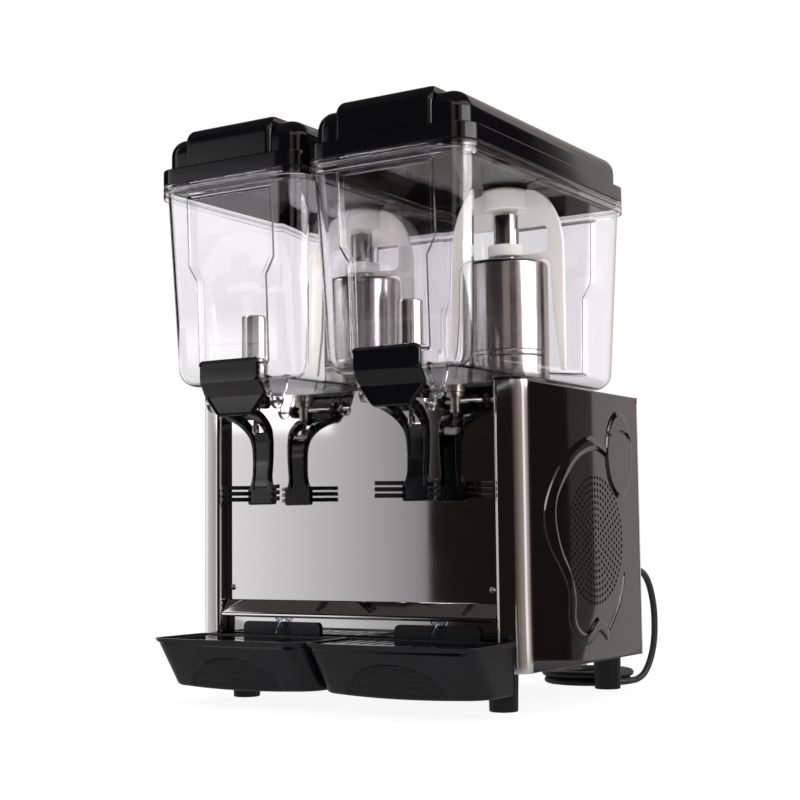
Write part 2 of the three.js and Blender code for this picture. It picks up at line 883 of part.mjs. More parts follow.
// What the sunk panel takes from the front wall, grown all round by a wall when it shapes the inside
function panelCut(grow) {
  const top = rimZ - panelTopDrop + grow;
  const low = bowlZ + panelFoot - grow;
  const shoulder = rimZ - panelShoulderDrop;
  const waist = rimZ - panelWaistDrop;
  const [wide, narrow] = [panelTopHalfWidth + grow, panelLowHalfWidth + grow];
  const front = [
    at(-narrow, low), at(narrow, low), at(narrow, waist), at(wide, shoulder), at(wide, top),
    at(-wide, top), at(-wide, shoulder), at(-narrow, waist),
  ];
  const far = bowlFrontY - overrun;
  const side = [
    at(far, low), at(bowlFaceY(low) + panelDepth + grow, low),
    at(bowlFaceY(top) + panelDepth + grow, top), at(far, top),
  ];
  return frontAndSide(front, side);
}

const earInnerX = leverHeadHalfWidth + leverPlay;

// The two clear ears under the front hold the lever's pin
function ears() {
  const [middle, top, low] = [pivotY, bowlZ + earRise, bowlZ - earDrop];
  const round = earBottomWidth / 2;
  const outline = [
    at(middle + earTopWidth / 2, top),
    at(middle - earTopWidth / 2, top),
    ...arc(middle, low + round, round, round, 2 * quarter, 4 * quarter, 6),
  ];
  const hole = ellipse(pivotY, pivotZ, pinRadius + fit, pinRadius + fit, 10);
  return [-earInnerX - earThickness, earInnerX].map((x) => (
    prism('x', outline, x, x + earThickness)
      .subtract(prism('x', hole, x - overrun, x + earThickness + overrun))
  ));
}

function bowl() {
  const outer = loft([
    ...bowlEdge(bowlBaseInset, bowlBaseCorner, bowlEdgeRadius, bowlZ),
    { outline: bowlRing(bowlLipInset, bowlCorner - bowlLipInset), z: lipZ },
    { outline: bowlRing(0, bowlCorner), z: lipZ },
    { outline: bowlRing(0, bowlCorner), z: rimZ },
  ]);
  const lipInner = bowlLipInset + bowlWall;
  const inner = loft([
    ...bowlEdge(
      bowlBaseInset + bowlWall, bowlBaseCorner - bowlWall, bowlEdgeRadius - bowlWall, bowlFloorZ,
    ),
    { outline: bowlRing(lipInner, bowlCorner - lipInner), z: lipZ },
    { outline: bowlRing(lipInner, bowlCorner - lipInner), z: rimZ + overrun },
  ]);
  const middleY = (bowlFrontY + bowlRearY) / 2;
  const both = (cut) => cut.add(cut.translate(0, -middleY, 0).mirror([0, 1, 0]).translate(0, middleY, 0));
  const evaporatorHole = disc(
    evaporatorRadius + bowlHolePlay, bowlZ - overrun, bowlFloorZ + overrun, 24, 0, evaporatorY,
  );
  const nozzleHole = disc(nozzleNeckRadius + fit, bowlZ - overrun, bowlFloorZ + overrun, 16, 0, tapY);
  return join([outer, ...ears()])
    .subtract(both(panelCut(0)))
    .subtract(inner.subtract(both(panelCut(bowlWall))))
    .subtract(evaporatorHole)
    .subtract(nozzleHole);
}

// Taps

// An upturned cup over the nozzle's neck with two ports at the floor of the bowl
function standpipe() {
  const low = bowlFloorZ + fit;
  const cup = turned([
    [standpipeBore, low],
    [standpipeRadius, low],
    [standpipeRadius, standpipeTopZ - standpipeCrown / 2],
    [standpipeRadius - standpipeCrown / 2, standpipeTopZ],
    [0, standpipeTopZ],
    [0, standpipeRoofZ],
    [standpipeBore, standpipeRoofZ],
    [standpipeBore, low],
  ], 16);
  const half = standpipePortWidth / 2;
  const port = prism(
    'x', box(-half, half, low + standpipePortRise, low + standpipePortRise + standpipePortHeight),
    -standpipeRadius - overrun, standpipeRadius + overrun,
  );
  return cup.subtract(port);
}

// Flange under the bowl, collar, spout tube, and a neck through the bowl's floor that is the valve's seat
function nozzle() {
  return turned([
    [nozzleBore, bowlZ - nozzleTubeDrop],
    [nozzleTubeRadius, bowlZ - nozzleTubeDrop],
    [nozzleTubeRadius, bowlZ - nozzleCollarDrop],
    [nozzleCollarRadius, bowlZ - nozzleCollarDrop],
    [nozzleCollarRadius, bowlZ - nozzleFlangeDrop],
    [nozzleFlangeRadius, bowlZ - nozzleFlangeDrop],
    [nozzleFlangeRadius, bowlZ - fit],
    [nozzleNeckRadius, bowlZ - fit],
    [nozzleNeckRadius, neckTopZ],
    [nozzleBore, neckTopZ],
    [nozzleBore, bowlZ - nozzleTubeDrop],
  ], 14);
}

// The piston covers the seat, and its rod ends in a cone over the lever's shelf
function valvePiston() {
  return turned([
    [0, rodTipZ],
    [rodTipRadius, rodTipZ],
    [rodConeRadius, rodTipZ + rodConeLow],
    [rodConeRadius, rodTipZ + rodConeHigh - rodConeLow / 2],
    [rodRadius, rodTipZ + rodConeHigh],
    [rodRadius, pistonZ],
    [pistonRadius, pistonZ],
    [pistonRadius, pistonZ + pistonHeight],
    [0, pistonZ + pistonHeight],
  ], 14);
}

function valveSpring() {
  const [low, high] = [pistonZ + pistonHeight + fit, standpipeRoofZ - fit];
  const inner = springRadius - springThickness;
  return turned([[inner, low], [springRadius, low], [springRadius, high], [inner, high], [inner, low]], 14);
}

// Head plate in front of the bowl, band, skirt and lip below it, two cheeks on the pin, a yoke round the
// nozzle, a stem and a pad with three bars each side
function lever() {
  const [py, pz] = [pivotY, pivotZ];
  const headBack = bowlFrontY + bowlBaseInset - leverHeadClearance;
  const headLow = pz + leverHeadLow;
  const faceY = py - leverFaceForward;
  const head = prism(
    'y',
    roundedBox(
      -leverHeadHalfWidth, leverHeadHalfWidth, headLow, headLow + leverHeadHeight, leverHeadRound, 3,
    ),
    headBack - leverHeadThickness, headBack,
  );
  const half = [
    at(leverLipHalfWidth, pz - leverLipDrop),
    at(leverLipHalfWidth, pz - leverSkirtDrop),
    at(leverSkirtHalfWidth, pz - leverSkirtDrop),
    at(leverBandHalfWidth, pz + leverBandLow),
    at(leverBandHalfWidth, headLow + leverPlate / 2),
  ];
  const face = frontAndSide([...half, ...mirroredX(half)], strip([
    at(headBack - leverHeadThickness / 2, headLow + leverPlate / 2),
    at(faceY, pz + leverBandLow),
    at(faceY, pz - leverSkirtDrop),
    at(py - leverLipForward, pz - leverLipDrop),
  ], leverPlate));
  const cheekInner = leverSkirtHalfWidth;
  const cheek = prism('x', [
    at(faceY + leverPlate / 2, pz + cheekHigh),
    at(faceY + leverPlate / 2, pz - cheekLow),
    at(py, pz - cheekLow),
    ...arc(py, pz, cheekBack, cheekLow, -quarter, quarter, 4).slice(1),
    at(py, pz + cheekHigh),
  ], cheekInner, cheekInner + cheekThickness);
  const stemBackY = py + stemForwardY + stemThickness;
  const shelfFrontY = tapY - shelfForward;
  const armDrop = shelfDrop + shelfThickness;
  const arm = prism('x', [
    at(faceY + leverPlate / 2, pz + leverBandLow * armHighShare),
    at(faceY + leverPlate / 2, pz - leverSkirtDrop),
    ...arc(
      faceY + leverPlate / 2, pz - armDrop,
      shelfFrontY - faceY - leverPlate / 2, armDrop - leverSkirtDrop - leverPlate, quarter, 0, 4,
    ),
    at(stemBackY, pz - armDrop),
    at(stemBackY, pz - shelfDrop + shelfThickness),
    ...arc(
      stemBackY - (stemBackY - py) / 2, pz - shelfDrop + shelfThickness,
      (stemBackY - py) / 2, shelfDrop - shelfThickness, 0, quarter, 4,
    ),
    at(py, pz),
  ], armInnerX, armInnerX + armThickness);
  const shelf = prism(
    'z', box(-armInnerX - armThickness / 2, armInnerX + armThickness / 2, shelfFrontY, stemBackY),
    shelfZ - shelfThickness, shelfZ,
  );
  const padY = py + stemForwardY - padForward;
  const padTop = pz - padTopDrop;
  const padLow = padTop - padHeight;
  const stem = frontAndSide(
    box(-stemHalfWidth, stemHalfWidth, padTop - padRound, shelfZ - shelfThickness / 2),
    [
      at(padY, padTop - padRound), at(padY + stemThickness, padTop - padRound),
      at(stemBackY, shelfZ), at(stemBackY - stemThickness, shelfZ),
    ],
  );
  const pad = prism(
    'y', roundedBox(-padHalfWidth, padHalfWidth, padLow, padTop, padRound, 3),
    padY, padY + stemThickness,
  );
  const barRoot = padHalfWidth - padRound;
  const barPlan = [
    at(barRoot, padY), at(padHalfWidth + barReach, padY - barSweep),
    at(padHalfWidth + barReach, padY - barSweep + barThickness), at(barRoot, padY + barThickness),
  ];
  const bars = barHeights.map((height, i) => (
    prism('z', barPlan, pz - barDrops[i] - height, pz - barDrops[i])
  ));
  const side = join([cheek, arm, ...bars]);
  const hole = prism(
    'x', ellipse(py, pz, pinRadius + fit, pinRadius + fit, 10),
    -leverHeadHalfWidth, leverHeadHalfWidth,
  );
  return join([head, face, shelf, stem, pad, side, side.mirror([1, 0, 0])]).subtract(hole);
}

function leverPin() {
  const half = earInnerX + earThickness + pinOverhang;
  return prism('x', ellipse(pivotY, pivotZ, pinRadius, pinRadius, 10), -half, half);
}

// Lids

const lidZ = rimZ + fit;

// Rings that turn a wall in to a flat top
function lidShoulder(ringOf, radius, low) {
  return Array.from({ length: edgeSteps + 1 }, (_, i) => {
    const angle = quarter * i / edgeSteps;
    return { outline: ringOf(radius * (1 - Math.cos(angle))), z: low + radius * Math.sin(angle) };
  });
}

// The central band from the front bulge to the rear, drawn in by an inset
function bulgeRing(inset) {
  return roundedBox(
    -bulgeHalfWidth + inset, bulgeHalfWidth - inset,
    bowlFrontY + bulgeFrontInset + inset, bowlRearY - bulgeRearInset - inset,
    bulgeRadius + lidWall - inset, 2,
  );
}

function lid() {
  const boxRing = (inset) => bowlRing(lidInset + inset, lidCorner - inset);
  const shoulderZ = lidZ + lidShoulderLow;
  const flangeTop = lidZ + lidFlangeHeight;
  const outer = loft([
    { outline: bowlRing(0, bowlCorner), z: lidZ },
    { outline: bowlRing(0, bowlCorner), z: flangeTop },
    { outline: boxRing(0), z: flangeTop },
    ...lidShoulder(boxRing, lidShoulderRadius, shoulderZ),
  ]);
  const bulgeZ = lidZ + bulgeLow;
  const bulge = loft([
    { outline: bulgeRing(0), z: flangeTop - lidWall },
    ...lidShoulder(bulgeRing, bulgeRadius, bulgeZ),
  ]);
  const plateau = prism(
    'z',
    roundedBox(-plateauLeft, plateauRight, bowlFrontY + plateauFrontInset, bowlRearY - plateauRearInset,
      plateauRound, 3),
    bulgeZ, bulgeZ + bulgeRadius + plateauRise,
  );
  const skirtInset = bowlLipInset + bowlWall + lidSkirtPlay;
  const skirt = prism(
    'z', bowlRing(skirtInset, bowlCorner - skirtInset), rimZ - lidSkirtDepth, lidZ + lidWall,
  );
  const innerRing = (inset) => boxRing(lidWall + inset);
  const cavity = loft([
    { outline: innerRing(0), z: rimZ - lidSkirtDepth - overrun },
    ...lidShoulder(innerRing, lidShoulderRadius - lidWall, shoulderZ),
  ]);
  const innerBulge = (inset) => bulgeRing(lidWall + inset);
  const bulgeCavity = loft([
    { outline: innerBulge(0), z: flangeTop },
    ...lidShoulder(innerBulge, bulgeRadius - lidWall, bulgeZ),
  ]);
  const bossTop = bulgeZ + bulgeRadius - lidWall / 2;
  const bossInner = lidBossRadius - lidBossWall;
  const boss = turned([
    [bossInner, bossTop - lidBossDrop],
    [lidBossRadius, bossTop - lidBossDrop],
    [lidBossRadius, bossTop],
    [bossInner, bossTop],
    [bossInner, bossTop - lidBossDrop],
  ], 20, 0, evaporatorY);
  return join([outer, bulge, plateau, skirt]).subtract(cavity.add(bulgeCavity)).add(boss);
}

// Drip trays

// The tray's plan between its leaning front and its rear, at a height and an inset
function trayRing(z, inset) {
  const rise = (z - trayBottomHeight) / (trayRimHeight - trayBottomHeight);
  const front = trayFrontY + trayFrontLean * (1 - rise) + inset;
  const [x0, x1] = [-trayHalfWidth + traySideInset + inset, trayHalfWidth - traySideInset - inset];
  const [round, rearRound] = [trayCorner - inset, trayRearCorner];
  return [
    ...arc(x0 + round, front + round, round, round, 2 * quarter, 3 * quarter, 3),
    ...arc(x1 - round, front + round, round, round, 3 * quarter, 4 * quarter, 3),
    ...arc(x1 - rearRound, trayRearY - inset - rearRound, rearRound, rearRound, 0, quarter, 2),
    ...arc(x0 + rearRound, trayRearY - inset - rearRound, rearRound, rearRound, quarter, 2 * quarter, 2),
  ];
}

const trayLoft = (low, high, inset) => loft([
  { outline: trayRing(low, inset), z: low },
  { outline: trayRing(high, inset), z: high },
]);

// The fan-shaped recess in the leaning front, as deep as given, grown all round
function trayRecess(depth, grow) {
  const rise = trayRimHeight - trayBottomHeight;
  const frontAt = (z) => trayFrontY + trayFrontLean * (trayRimHeight - z) / rise + depth;
  const [low, high] = [trayBottomHeight - overrun, trayBottomHeight + recessHeight + grow];
  const side = [
    at(trayFrontY - overrun, low), at(frontAt(low), low), at(frontAt(high), high),
    at(trayFrontY - overrun, high),
  ];
  const front = [
    at(-recessHalfWidth - grow, low),
    at(recessHalfWidth + grow, low),
    ...arc(0, trayBottomHeight, recessHalfWidth + grow, recessHeight + grow, 0, 2 * quarter, 10),
  ];
  return frontAndSide(front, side);
}

function dripTray() {
  const floorZ = trayBottomHeight + trayWall;
  const gridZ = trayRimHeight - gridDrop - gridThickness - fit;
  const outer = trayLoft(trayBottomHeight, trayRimHeight, 0);
  const flange = trayLoft(trayRimHeight - trayFlangeHeight, trayRimHeight, -trayFlange);
  const keepOut = prism(
    'z', box(-cabinetWidth, cabinetWidth, trayRearY, trayRearY + cabinetDepth),
    trayRimHeight - trayFlangeHeight - overrun, trayRimHeight + overrun,
  );
  const heelRear = hangerFrontY - fit;
  const heelTop = trayRimHeight - trayFlangeHeight;
  const heel = prism(
    'z', box(-heelWidth / 2, heelWidth / 2, trayRearY - trayWall, heelRear),
    heelTop - heelHeight, heelTop,
  );
  const pocket = prism(
    'y',
    box(-tongueWidth / 2 - tonguePlay, tongueWidth / 2 + tonguePlay,
      tongueHeight - tonguePlay, tongueHeight + tongueThickness + tonguePlay),
    hangerFrontY - tongueLength - 2 * tonguePlay, heelRear + overrun,
  );
  const cavity = trayLoft(floorZ, gridZ + fit, trayWall + gridShelf);
  const mouth = trayLoft(gridZ, trayRimHeight + overrun, trayWall);
  const cut = trayRecess(recessDepth, 0);
  const inside = cavity.subtract(trayRecess(recessDepth + trayWall, trayWall)).add(mouth);
  const ribZone = trayRecess(recessDepth + trayWall / 2, 0).intersect(outer);
  const pitch = recessHeight / (recessRibs + 1);
  const ribs = Array.from({ length: recessRibs }, (_, i) => {
    const low = trayBottomHeight + pitch * (i + 1) - recessRibHeight;
    const bar = prism(
      'x', box(trayFrontY - overrun, trayRearY, low, low + recessRibHeight),
      -recessHalfWidth, recessHalfWidth,
    );
    return ribZone.intersect(bar);
  });
  return join([outer.subtract(cut), flange.subtract(keepOut), heel, ...ribs])
    .subtract(inside)
    .subtract(pocket);
}

function trayGrid() {
  const high = trayRimHeight - gridDrop;
  const low = high - gridThickness;
  const plate = trayLoft(low, high, trayWall + gridPlay);
  const usable = 2 * (trayHalfWidth - traySideInset - trayWall - gridPlay - gridBorder);
  const pitch = (usable - gridSlotWidth) / (gridSlots - 1);
  const slots = Array.from({ length: gridSlots }, (_, i) => {
    const x = -usable / 2 + gridSlotWidth / 2 + pitch * i;
    return prism(
      'z',
      box(x - gridSlotWidth / 2, x + gridSlotWidth / 2,
        trayFrontY + trayCorner + gridBorder, trayRearY - trayWall - gridBorder),
      low - overrun, high + overrun,
    );
  });
  return plate.subtract(join(slots));
}

// Cooling unit

function compressor() {
  const [low, high] = [panFloorZ + fit, panFloorZ + fit + compressorHeight];
  const round = compressorRound;
  const inner = compressorRadius - round;
  return turned([
    [0, low],
    ...arc(inner, low + round, round, round, -quarter, 0, 3).map((p) => [p.x, p.y]),
    ...arc(inner, high - round, round, round, 0, quarter, 3).map((p) => [p.x, p.y]),
    [0, high],
  ], 18, -halfWidth + compressorSideInset, rearY - compressorRearInset);
}

// The fan blows out through the right vent, its motor stands behind it and the condenser behind that
const fanX = halfWidth - wall - fanPanelGap - fanHubLength;
const fanMotorX = fanX - fit - fanMotorLength;
const condenserHighX = fanMotorX - fit;

function condenser() {
  const half = condenserWidth / 2;
  return prism(
    'z', box(condenserHighX - condenserThickness, condenserHighX, ventY - half, ventY + half),
    panFloorZ + fit, motorLowZ - condenserTopGap,
  );
}

function fanMotor() {
  return prism(
    'x', ellipse(ventY, ventHeight, fanMotorRadius, fanMotorRadius, 18),
    fanMotorX, fanMotorX + fanMotorLength,
  );
}

function fanBlade() {
  const hub = prism('x', ellipse(0, 0, fanHubRadius, fanHubRadius, 20), 0, fanHubLength);
  const outline = [
    at(-fanBladeRootWidth / 2, fanHubRadius / 2),
    at(fanBladeRootWidth / 2, fanHubRadius / 2),
    ...arc(0, fanRadius - fanBladeTipRound, fanBladeTipWidth / 2, fanBladeTipRound, 0, 2 * quarter, 5),
  ];
  const blades = Array.from({ length: fanBlades }, (_, i) => {
    const geometry = new THREE.ExtrudeGeometry(new THREE.Shape(outline), {
      depth: fanBladeThickness,
      bevelEnabled: false,
    });
    geometry.translate(0, 0, -fanBladeThickness / 2).rotateX(quarter).rotateZ(quarter);
    geometry.rotateZ(fanPitch).rotateX(2 * Math.PI * i / fanBlades);
    return solid(geometry.translate(fanHubLength / 2, 0, 0));
  });
  return join([hub, ...blades]).translate(fanX, ventY, ventHeight);
}

// Rocker switches, in (x, z) about their own pivot, the face to the left

function rocker(y) {
  const face = -rockerPivotDepth;
  const reach = Math.sqrt(rockerHalfLength ** 2 - rockerPivotDepth ** 2);
  const outline = [
    at(face, reach),
    at(face + rockerHollow, 0),
    at(face, -reach),
    at(rockerDepth - rockerPivotDepth, -rockerHalfLength / 2),
    at(rockerDepth - rockerPivotDepth, rockerHalfLength / 2),
  ];
  const geometry = new THREE.ExtrudeGeometry(new THREE.Shape(outline), {
    depth: rockerWidth,
    bevelEnabled: false,
  });
  geometry.translate(0, 0, -rockerWidth / 2).rotateX(quarter).rotateY(rockerTilt);
  return solid(geometry).translate(-halfWidth + ovalRecess + rockerPivotDepth, y, ovalHeight);
}

// Mains cord: gland on the rear panel, a short drop, a coil on the floor close behind, and the plug

function cordRelief() {
  const flangeY = rearY + fit;
  const tipY = flangeY + reliefFlangeThickness + reliefLength;
  const neckY = rearY - sheet - reliefNeckLength;
  const profile = [
    [0, neckY],
    [reliefNeckRadius, neckY],
    [reliefNeckRadius, flangeY],
    [reliefFlangeRadius, flangeY],
    [reliefFlangeRadius, flangeY + reliefFlangeThickness],
    [reliefRadius, flangeY + reliefFlangeThickness],
    [reliefTipRadius, tipY],
    [0, tipY],
  ];
  const geometry = new THREE.LatheGeometry(profile.map(([radius, along]) => at(radius, along)), 16);
  return solid(geometry.translate(cordExitX, 0, cordExitHeight));
}

const leadStartY = rearY + 2 * fit + reliefFlangeThickness + reliefLength;
const cordFloorZ = cordDiameter / 2 + fit;
const coilOuterRadius = coilMiddleRadius + coilPitch * coilLayerTurns / 2;
const coilStart = [coilX + coilOuterRadius, coilY];

// The lead's route, chosen by hand: straight out, over and down in one bulge, in to the coil's outer end
const leadRoute = [
  [cordExitX, leadStartY, cordExitHeight],
  [cordExitX, leadStartY + cordDiameter, cordExitHeight],
  [188.4, 212, 133],
  [189, 223, 122],
  [189.6, 230.5, 107],
  [190, 235, 90],
  [189.6, 237, 72],
  [188.4, 237.5, 54],
  [186, 236, 37],
  [182.6, 231, 21],
  [178.6, 223, 9.5],
  [coilStart[0], coilStart[1] + 2 * cordDiameter + fit, cordFloorZ],
  [coilStart[0], coilStart[1] + cordDiameter + fit, cordFloorZ],
];

function cordLead() {
  const curve = new THREE.CatmullRomCurve3(
    leadRoute.map((point) => new THREE.Vector3(...point)), false, 'centripetal',
  );
  const steps = Math.round(curve.getLength() / (2 * cordDiameter));
  const section = new THREE.Shape(ellipse(0, 0, cordDiameter / 2, cordDiameter / 2, 8));
  console.log('lead length', curve.getLength().toFixed(1));
  return solid(new THREE.ExtrudeGeometry(section, { steps, extrudePath: curve, bevelEnabled: false }));
}

// The coil's centre line: in on the floor layer, up in the half turn where it reverses, out on the next
function coilPath() {
  const turns = coilLayerTurns * coilLayers;
  const perTurn = 24;
  const steps = Math.round(turns * perTurn);
  const points = Array.from({ length: steps + 1 }, (_, i) => {
    const turn = turns * i / steps;
    const radius = coilOuterRadius - coilPitch * Math.min(turn, turns - turn);
    const climb = THREE.MathUtils.clamp(2 * (turn - coilLayerTurns) + 1 / 2, 0, 1);
    const angle = -2 * Math.PI * turn;
    return new THREE.Vector3(
      coilX + radius * Math.cos(angle), coilY + radius * Math.sin(angle), cordFloorZ + coilPitch * climb,
    );
  });
  const [first, last] = [points[0], points.at(-1)];
  points.unshift(first.clone().setY(first.y + cordDiameter));
  points.push(last.clone().setY(last.y + cordDiameter));
  return points;
}

// Least distance between the coil's turns, less the cord's own diameter
function coilGap(points) {
  let least = Infinity;
  const pointsApart = 12;
  const near = new THREE.Vector3();
  for (let i = 0; i < points.length; i += 1) {
    for (let j = i + pointsApart; j + 1 < points.length; j += 1) {
      new THREE.Line3(points[j], points[j + 1]).closestPointToPoint(points[i], true, near);
      least = Math.min(least, near.distanceTo(points[i]));
    }
  }
  return least - cordDiameter;
}

function cordCoil() {
  const path = coilPath();
  const sides = 6;
  const up = new THREE.Vector3(0, 0, 1);
  const positions = path.flatMap((point, i) => {
    const ahead = path[Math.min(i + 1, path.length - 1)];
    const behind = path[Math.max(i - 1, 0)];
    const along = ahead.clone().sub(behind).normalize();
    const across = along.clone().cross(up).normalize();
    const rise = across.clone().cross(along);
    return Array.from({ length: sides }, (_, side) => {
      const angle = 2 * Math.PI * (side + 1 / 2) / sides;
      return point.clone()
        .addScaledVector(across, Math.cos(angle) * cordDiameter / 2)
        .addScaledVector(rise, Math.sin(angle) * cordDiameter / 2)
        .toArray();
    }).flat();
  });
  const index = [];
  for (let ring = 0; ring + 1 < path.length; ring += 1) {
    for (let side = 0; side < sides; side += 1) {
      const [a, b] = [ring * sides + side, ring * sides + (side + 1) % sides];
      index.push(a, b, b + sides, a, b + sides, a + sides);
    }
  }
  const last = (path.length - 1) * sides;
  for (let side = 1; side + 1 < sides; side += 1) {
    index.push(0, side + 1, side, last, last + side, last + side + 1);
  }
  const geometry = new THREE.BufferGeometry();
  geometry.setAttribute('position', new THREE.Float32BufferAttribute(positions, 3));
  geometry.setIndex(index);
  const length = path.slice(1).reduce((sum, point, i) => sum + point.distanceTo(path[i]), 0);
  console.log('coil length', length.toFixed(1), 'least gap to itself', coilGap(path).toFixed(2));
  return solid(geometry);
}

// Two-pin plug lying on its side at the coil's outer end, pins to the back
function plug() {
  const x = coilX - coilOuterRadius;
  const z = cordFloorZ + coilPitch;
  const sleeveY = coilY + cordDiameter + fit;
  const bodyY = sleeveY + plugSleeveLength;
  const alongY = (radius, tip, low, high) => {
    const profile = [at(0, low), at(radius, low), at(tip, high), at(0, high)];
    return solid(new THREE.LatheGeometry(profile, 12));
  };
  const body = prism(
    'y', roundedBox(-plugWidth / 2, plugWidth / 2, -plugThickness / 2, plugThickness / 2, plugRound, 3),
    bodyY, bodyY + plugLength,
  );
  const pins = [-plugPinSpacing / 2, plugPinSpacing / 2].map((offset) => (
    alongY(plugPinRadius, plugPinRadius, bodyY + plugLength - overrun, bodyY + plugLength + plugPinLength)
      .translate(offset, 0, 0)
  ));
  const sleeve = alongY(plugSleeveTipRadius, plugSleeveRadius, sleeveY, bodyY + overrun);
  return join([body, sleeve, ...pins]).translate(x, 0, z);
}

// Assembly

add(machine, 'base_pan', basePan(), blackPaint);
const footPlaces = {
  foot_front_left: [-halfWidth + footSideInset, frontY + footFrontInset],
  foot_front_right: [halfWidth - footSideInset, frontY + footFrontInset],
  foot_rear_left: [-halfWidth + footSideInset, rearY - footRearInset],
  foot_rear_right: [halfWidth - footSideInset, rearY - footRearInset],
};
for (const [name, [x, y]] of Object.entries(footPlaces)) add(machine, name, foot(x, y), blackMatt);

add(machine, 'front_panel', frontPanel(), mirrorSteel);
add(machine, 'drip_ledge', dripLedge(), brushedSteel);
add(machine, 'rear_panel', rearPanel(), brushedSteel);
add(machine, 'top_deck', topDeck(), blackMatt);
add(machine, 'side_panel_left', leftSidePanel(), blackGloss);
add(machine, 'side_panel_right', sidePanel(), blackGloss);
rockerPlaces.forEach((y, i) => add(machine, `rocker_switch_${i + 1}`, rocker(y), blackMatt));

add(machine, 'compressor', compressor(), blackPaint);
add(machine, 'condenser', condenser(), brushedSteel);
add(machine, 'fan_motor', fanMotor(), blackPaint);
add(machine, 'fan_blade', fanBlade(), blackMatt);

for (const [side, sign] of [['left', -1], ['right', 1]]) {
  const mirrored = (shape) => (sign < 0 ? shape.mirror([1, 0, 0]) : shape);
  add(machine, `column_${side}`, mirrored(column()), mirrorSteel);
  add(machine, `column_cap_${side}`, mirrored(columnCap()), blackGloss);
  add(machine, `rear_strip_${side}`, mirrored(rearStrip()), mirrorSteel);
  add(machine, `tray_bracket_${side}`, trayBracket(sign * trayX), blackGloss);

  const drive = new THREE.Group();
  drive.position.set(sign * bowlX, evaporatorY, 0);
  machine.add(drive);
  add(drive, `evaporator_${side}`, evaporator(), brushedSteel);
  add(drive, `bowl_seal_${side}`, bowlSeal(), greyRubber);
  add(drive, `drive_motor_${side}`, driveMotor(), blackPaint);
  add(drive, `drive_shaft_${side}`, driveShaft(), brushedSteel);
  add(drive, `agitator_${side}`, agitator(), whitePlastic);

  const station = new THREE.Group();
  station.position.x = sign * bowlX;
  machine.add(station);
  add(station, `bowl_${side}`, bowl(), clearPlastic);
  add(station, `lid_${side}`, lid(), blackGloss);
  add(station, `lever_${side}`, lever(), blackGloss);
  add(station, `lever_pin_${side}`, leverPin(), brushedSteel);

  const tap = new THREE.Group();
  tap.position.set(sign * bowlX, tapY, 0);
  machine.add(tap);
  add(tap, `standpipe_${side}`, standpipe(), brushedSteel);
  add(tap, `nozzle_${side}`, nozzle(), brushedSteel);
  add(tap, `valve_piston_${side}`, valvePiston(), brushedSteel);
  add(tap, `valve_spring_${side}`, valveSpring(), brushedSteel);

  const tray = new THREE.Group();
  tray.position.x = sign * trayX;
  machine.add(tray);
  add(tray, `drip_tray_${side}`, dripTray(), blackGloss);
  add(tray, `tray_grid_${side}`, trayGrid(), blackGloss);
}

add(machine, 'cord_relief', cordRelief(), blackMatt);
add(machine, 'cord_lead', cordLead(), blackMatt);
add(machine, 'cord_coil', cordCoil(), blackMatt);
add(machine, 'plug', plug(), blackMatt);

export default machine;
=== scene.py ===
import math

import bmesh
import bpy
import numpy as np
from mathutils import Matrix, Vector


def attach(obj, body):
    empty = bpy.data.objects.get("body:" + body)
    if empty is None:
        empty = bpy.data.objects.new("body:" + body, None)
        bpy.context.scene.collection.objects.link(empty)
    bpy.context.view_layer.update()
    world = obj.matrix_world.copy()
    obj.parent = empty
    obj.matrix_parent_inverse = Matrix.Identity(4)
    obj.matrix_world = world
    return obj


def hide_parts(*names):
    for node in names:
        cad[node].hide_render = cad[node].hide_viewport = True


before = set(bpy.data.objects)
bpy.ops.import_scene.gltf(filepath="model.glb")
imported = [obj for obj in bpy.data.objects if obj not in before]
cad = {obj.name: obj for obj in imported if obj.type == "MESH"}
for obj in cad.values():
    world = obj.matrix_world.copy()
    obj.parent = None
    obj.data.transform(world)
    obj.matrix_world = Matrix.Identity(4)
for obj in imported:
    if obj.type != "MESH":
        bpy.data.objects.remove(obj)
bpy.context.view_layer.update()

# Camera
# Stands to the right of the machine and a little above its trays, looks slightly up at the bowls, and has
# a 68.6 mm lens on a 36 mm sensor.
camera_yaw, camera_pitch, camera_roll = -0.5603, 0.0869, -0.0111
forward = Vector((
    math.sin(camera_yaw) * math.cos(camera_pitch),
    math.cos(camera_yaw) * math.cos(camera_pitch),
    math.sin(camera_pitch),
))
level_right = Vector((math.cos(camera_yaw), -math.sin(camera_yaw), 0))
level_up = level_right.cross(forward)
camera_right = level_right * math.cos(camera_roll) + level_up * math.sin(camera_roll)
camera_up = level_up * math.cos(camera_roll) - level_right * math.sin(camera_roll)
camera_place = (0.945598, -1.506687, 0.188436)
lens = bpy.data.cameras.new("camera")
lens.lens, lens.sensor_width = 68.58, 36


def added(name, data):
    """A new object of the scene that shows this data."""
    made = bpy.data.objects.new(name, data)
    bpy.context.scene.collection.objects.link(made)
    return made


camera = added("camera", lens)
camera.matrix_world = (
    Matrix.Translation(camera_place)
    @ Matrix((camera_right, camera_up, -forward)).transposed().to_4x4()
)
bpy.context.scene.camera = camera

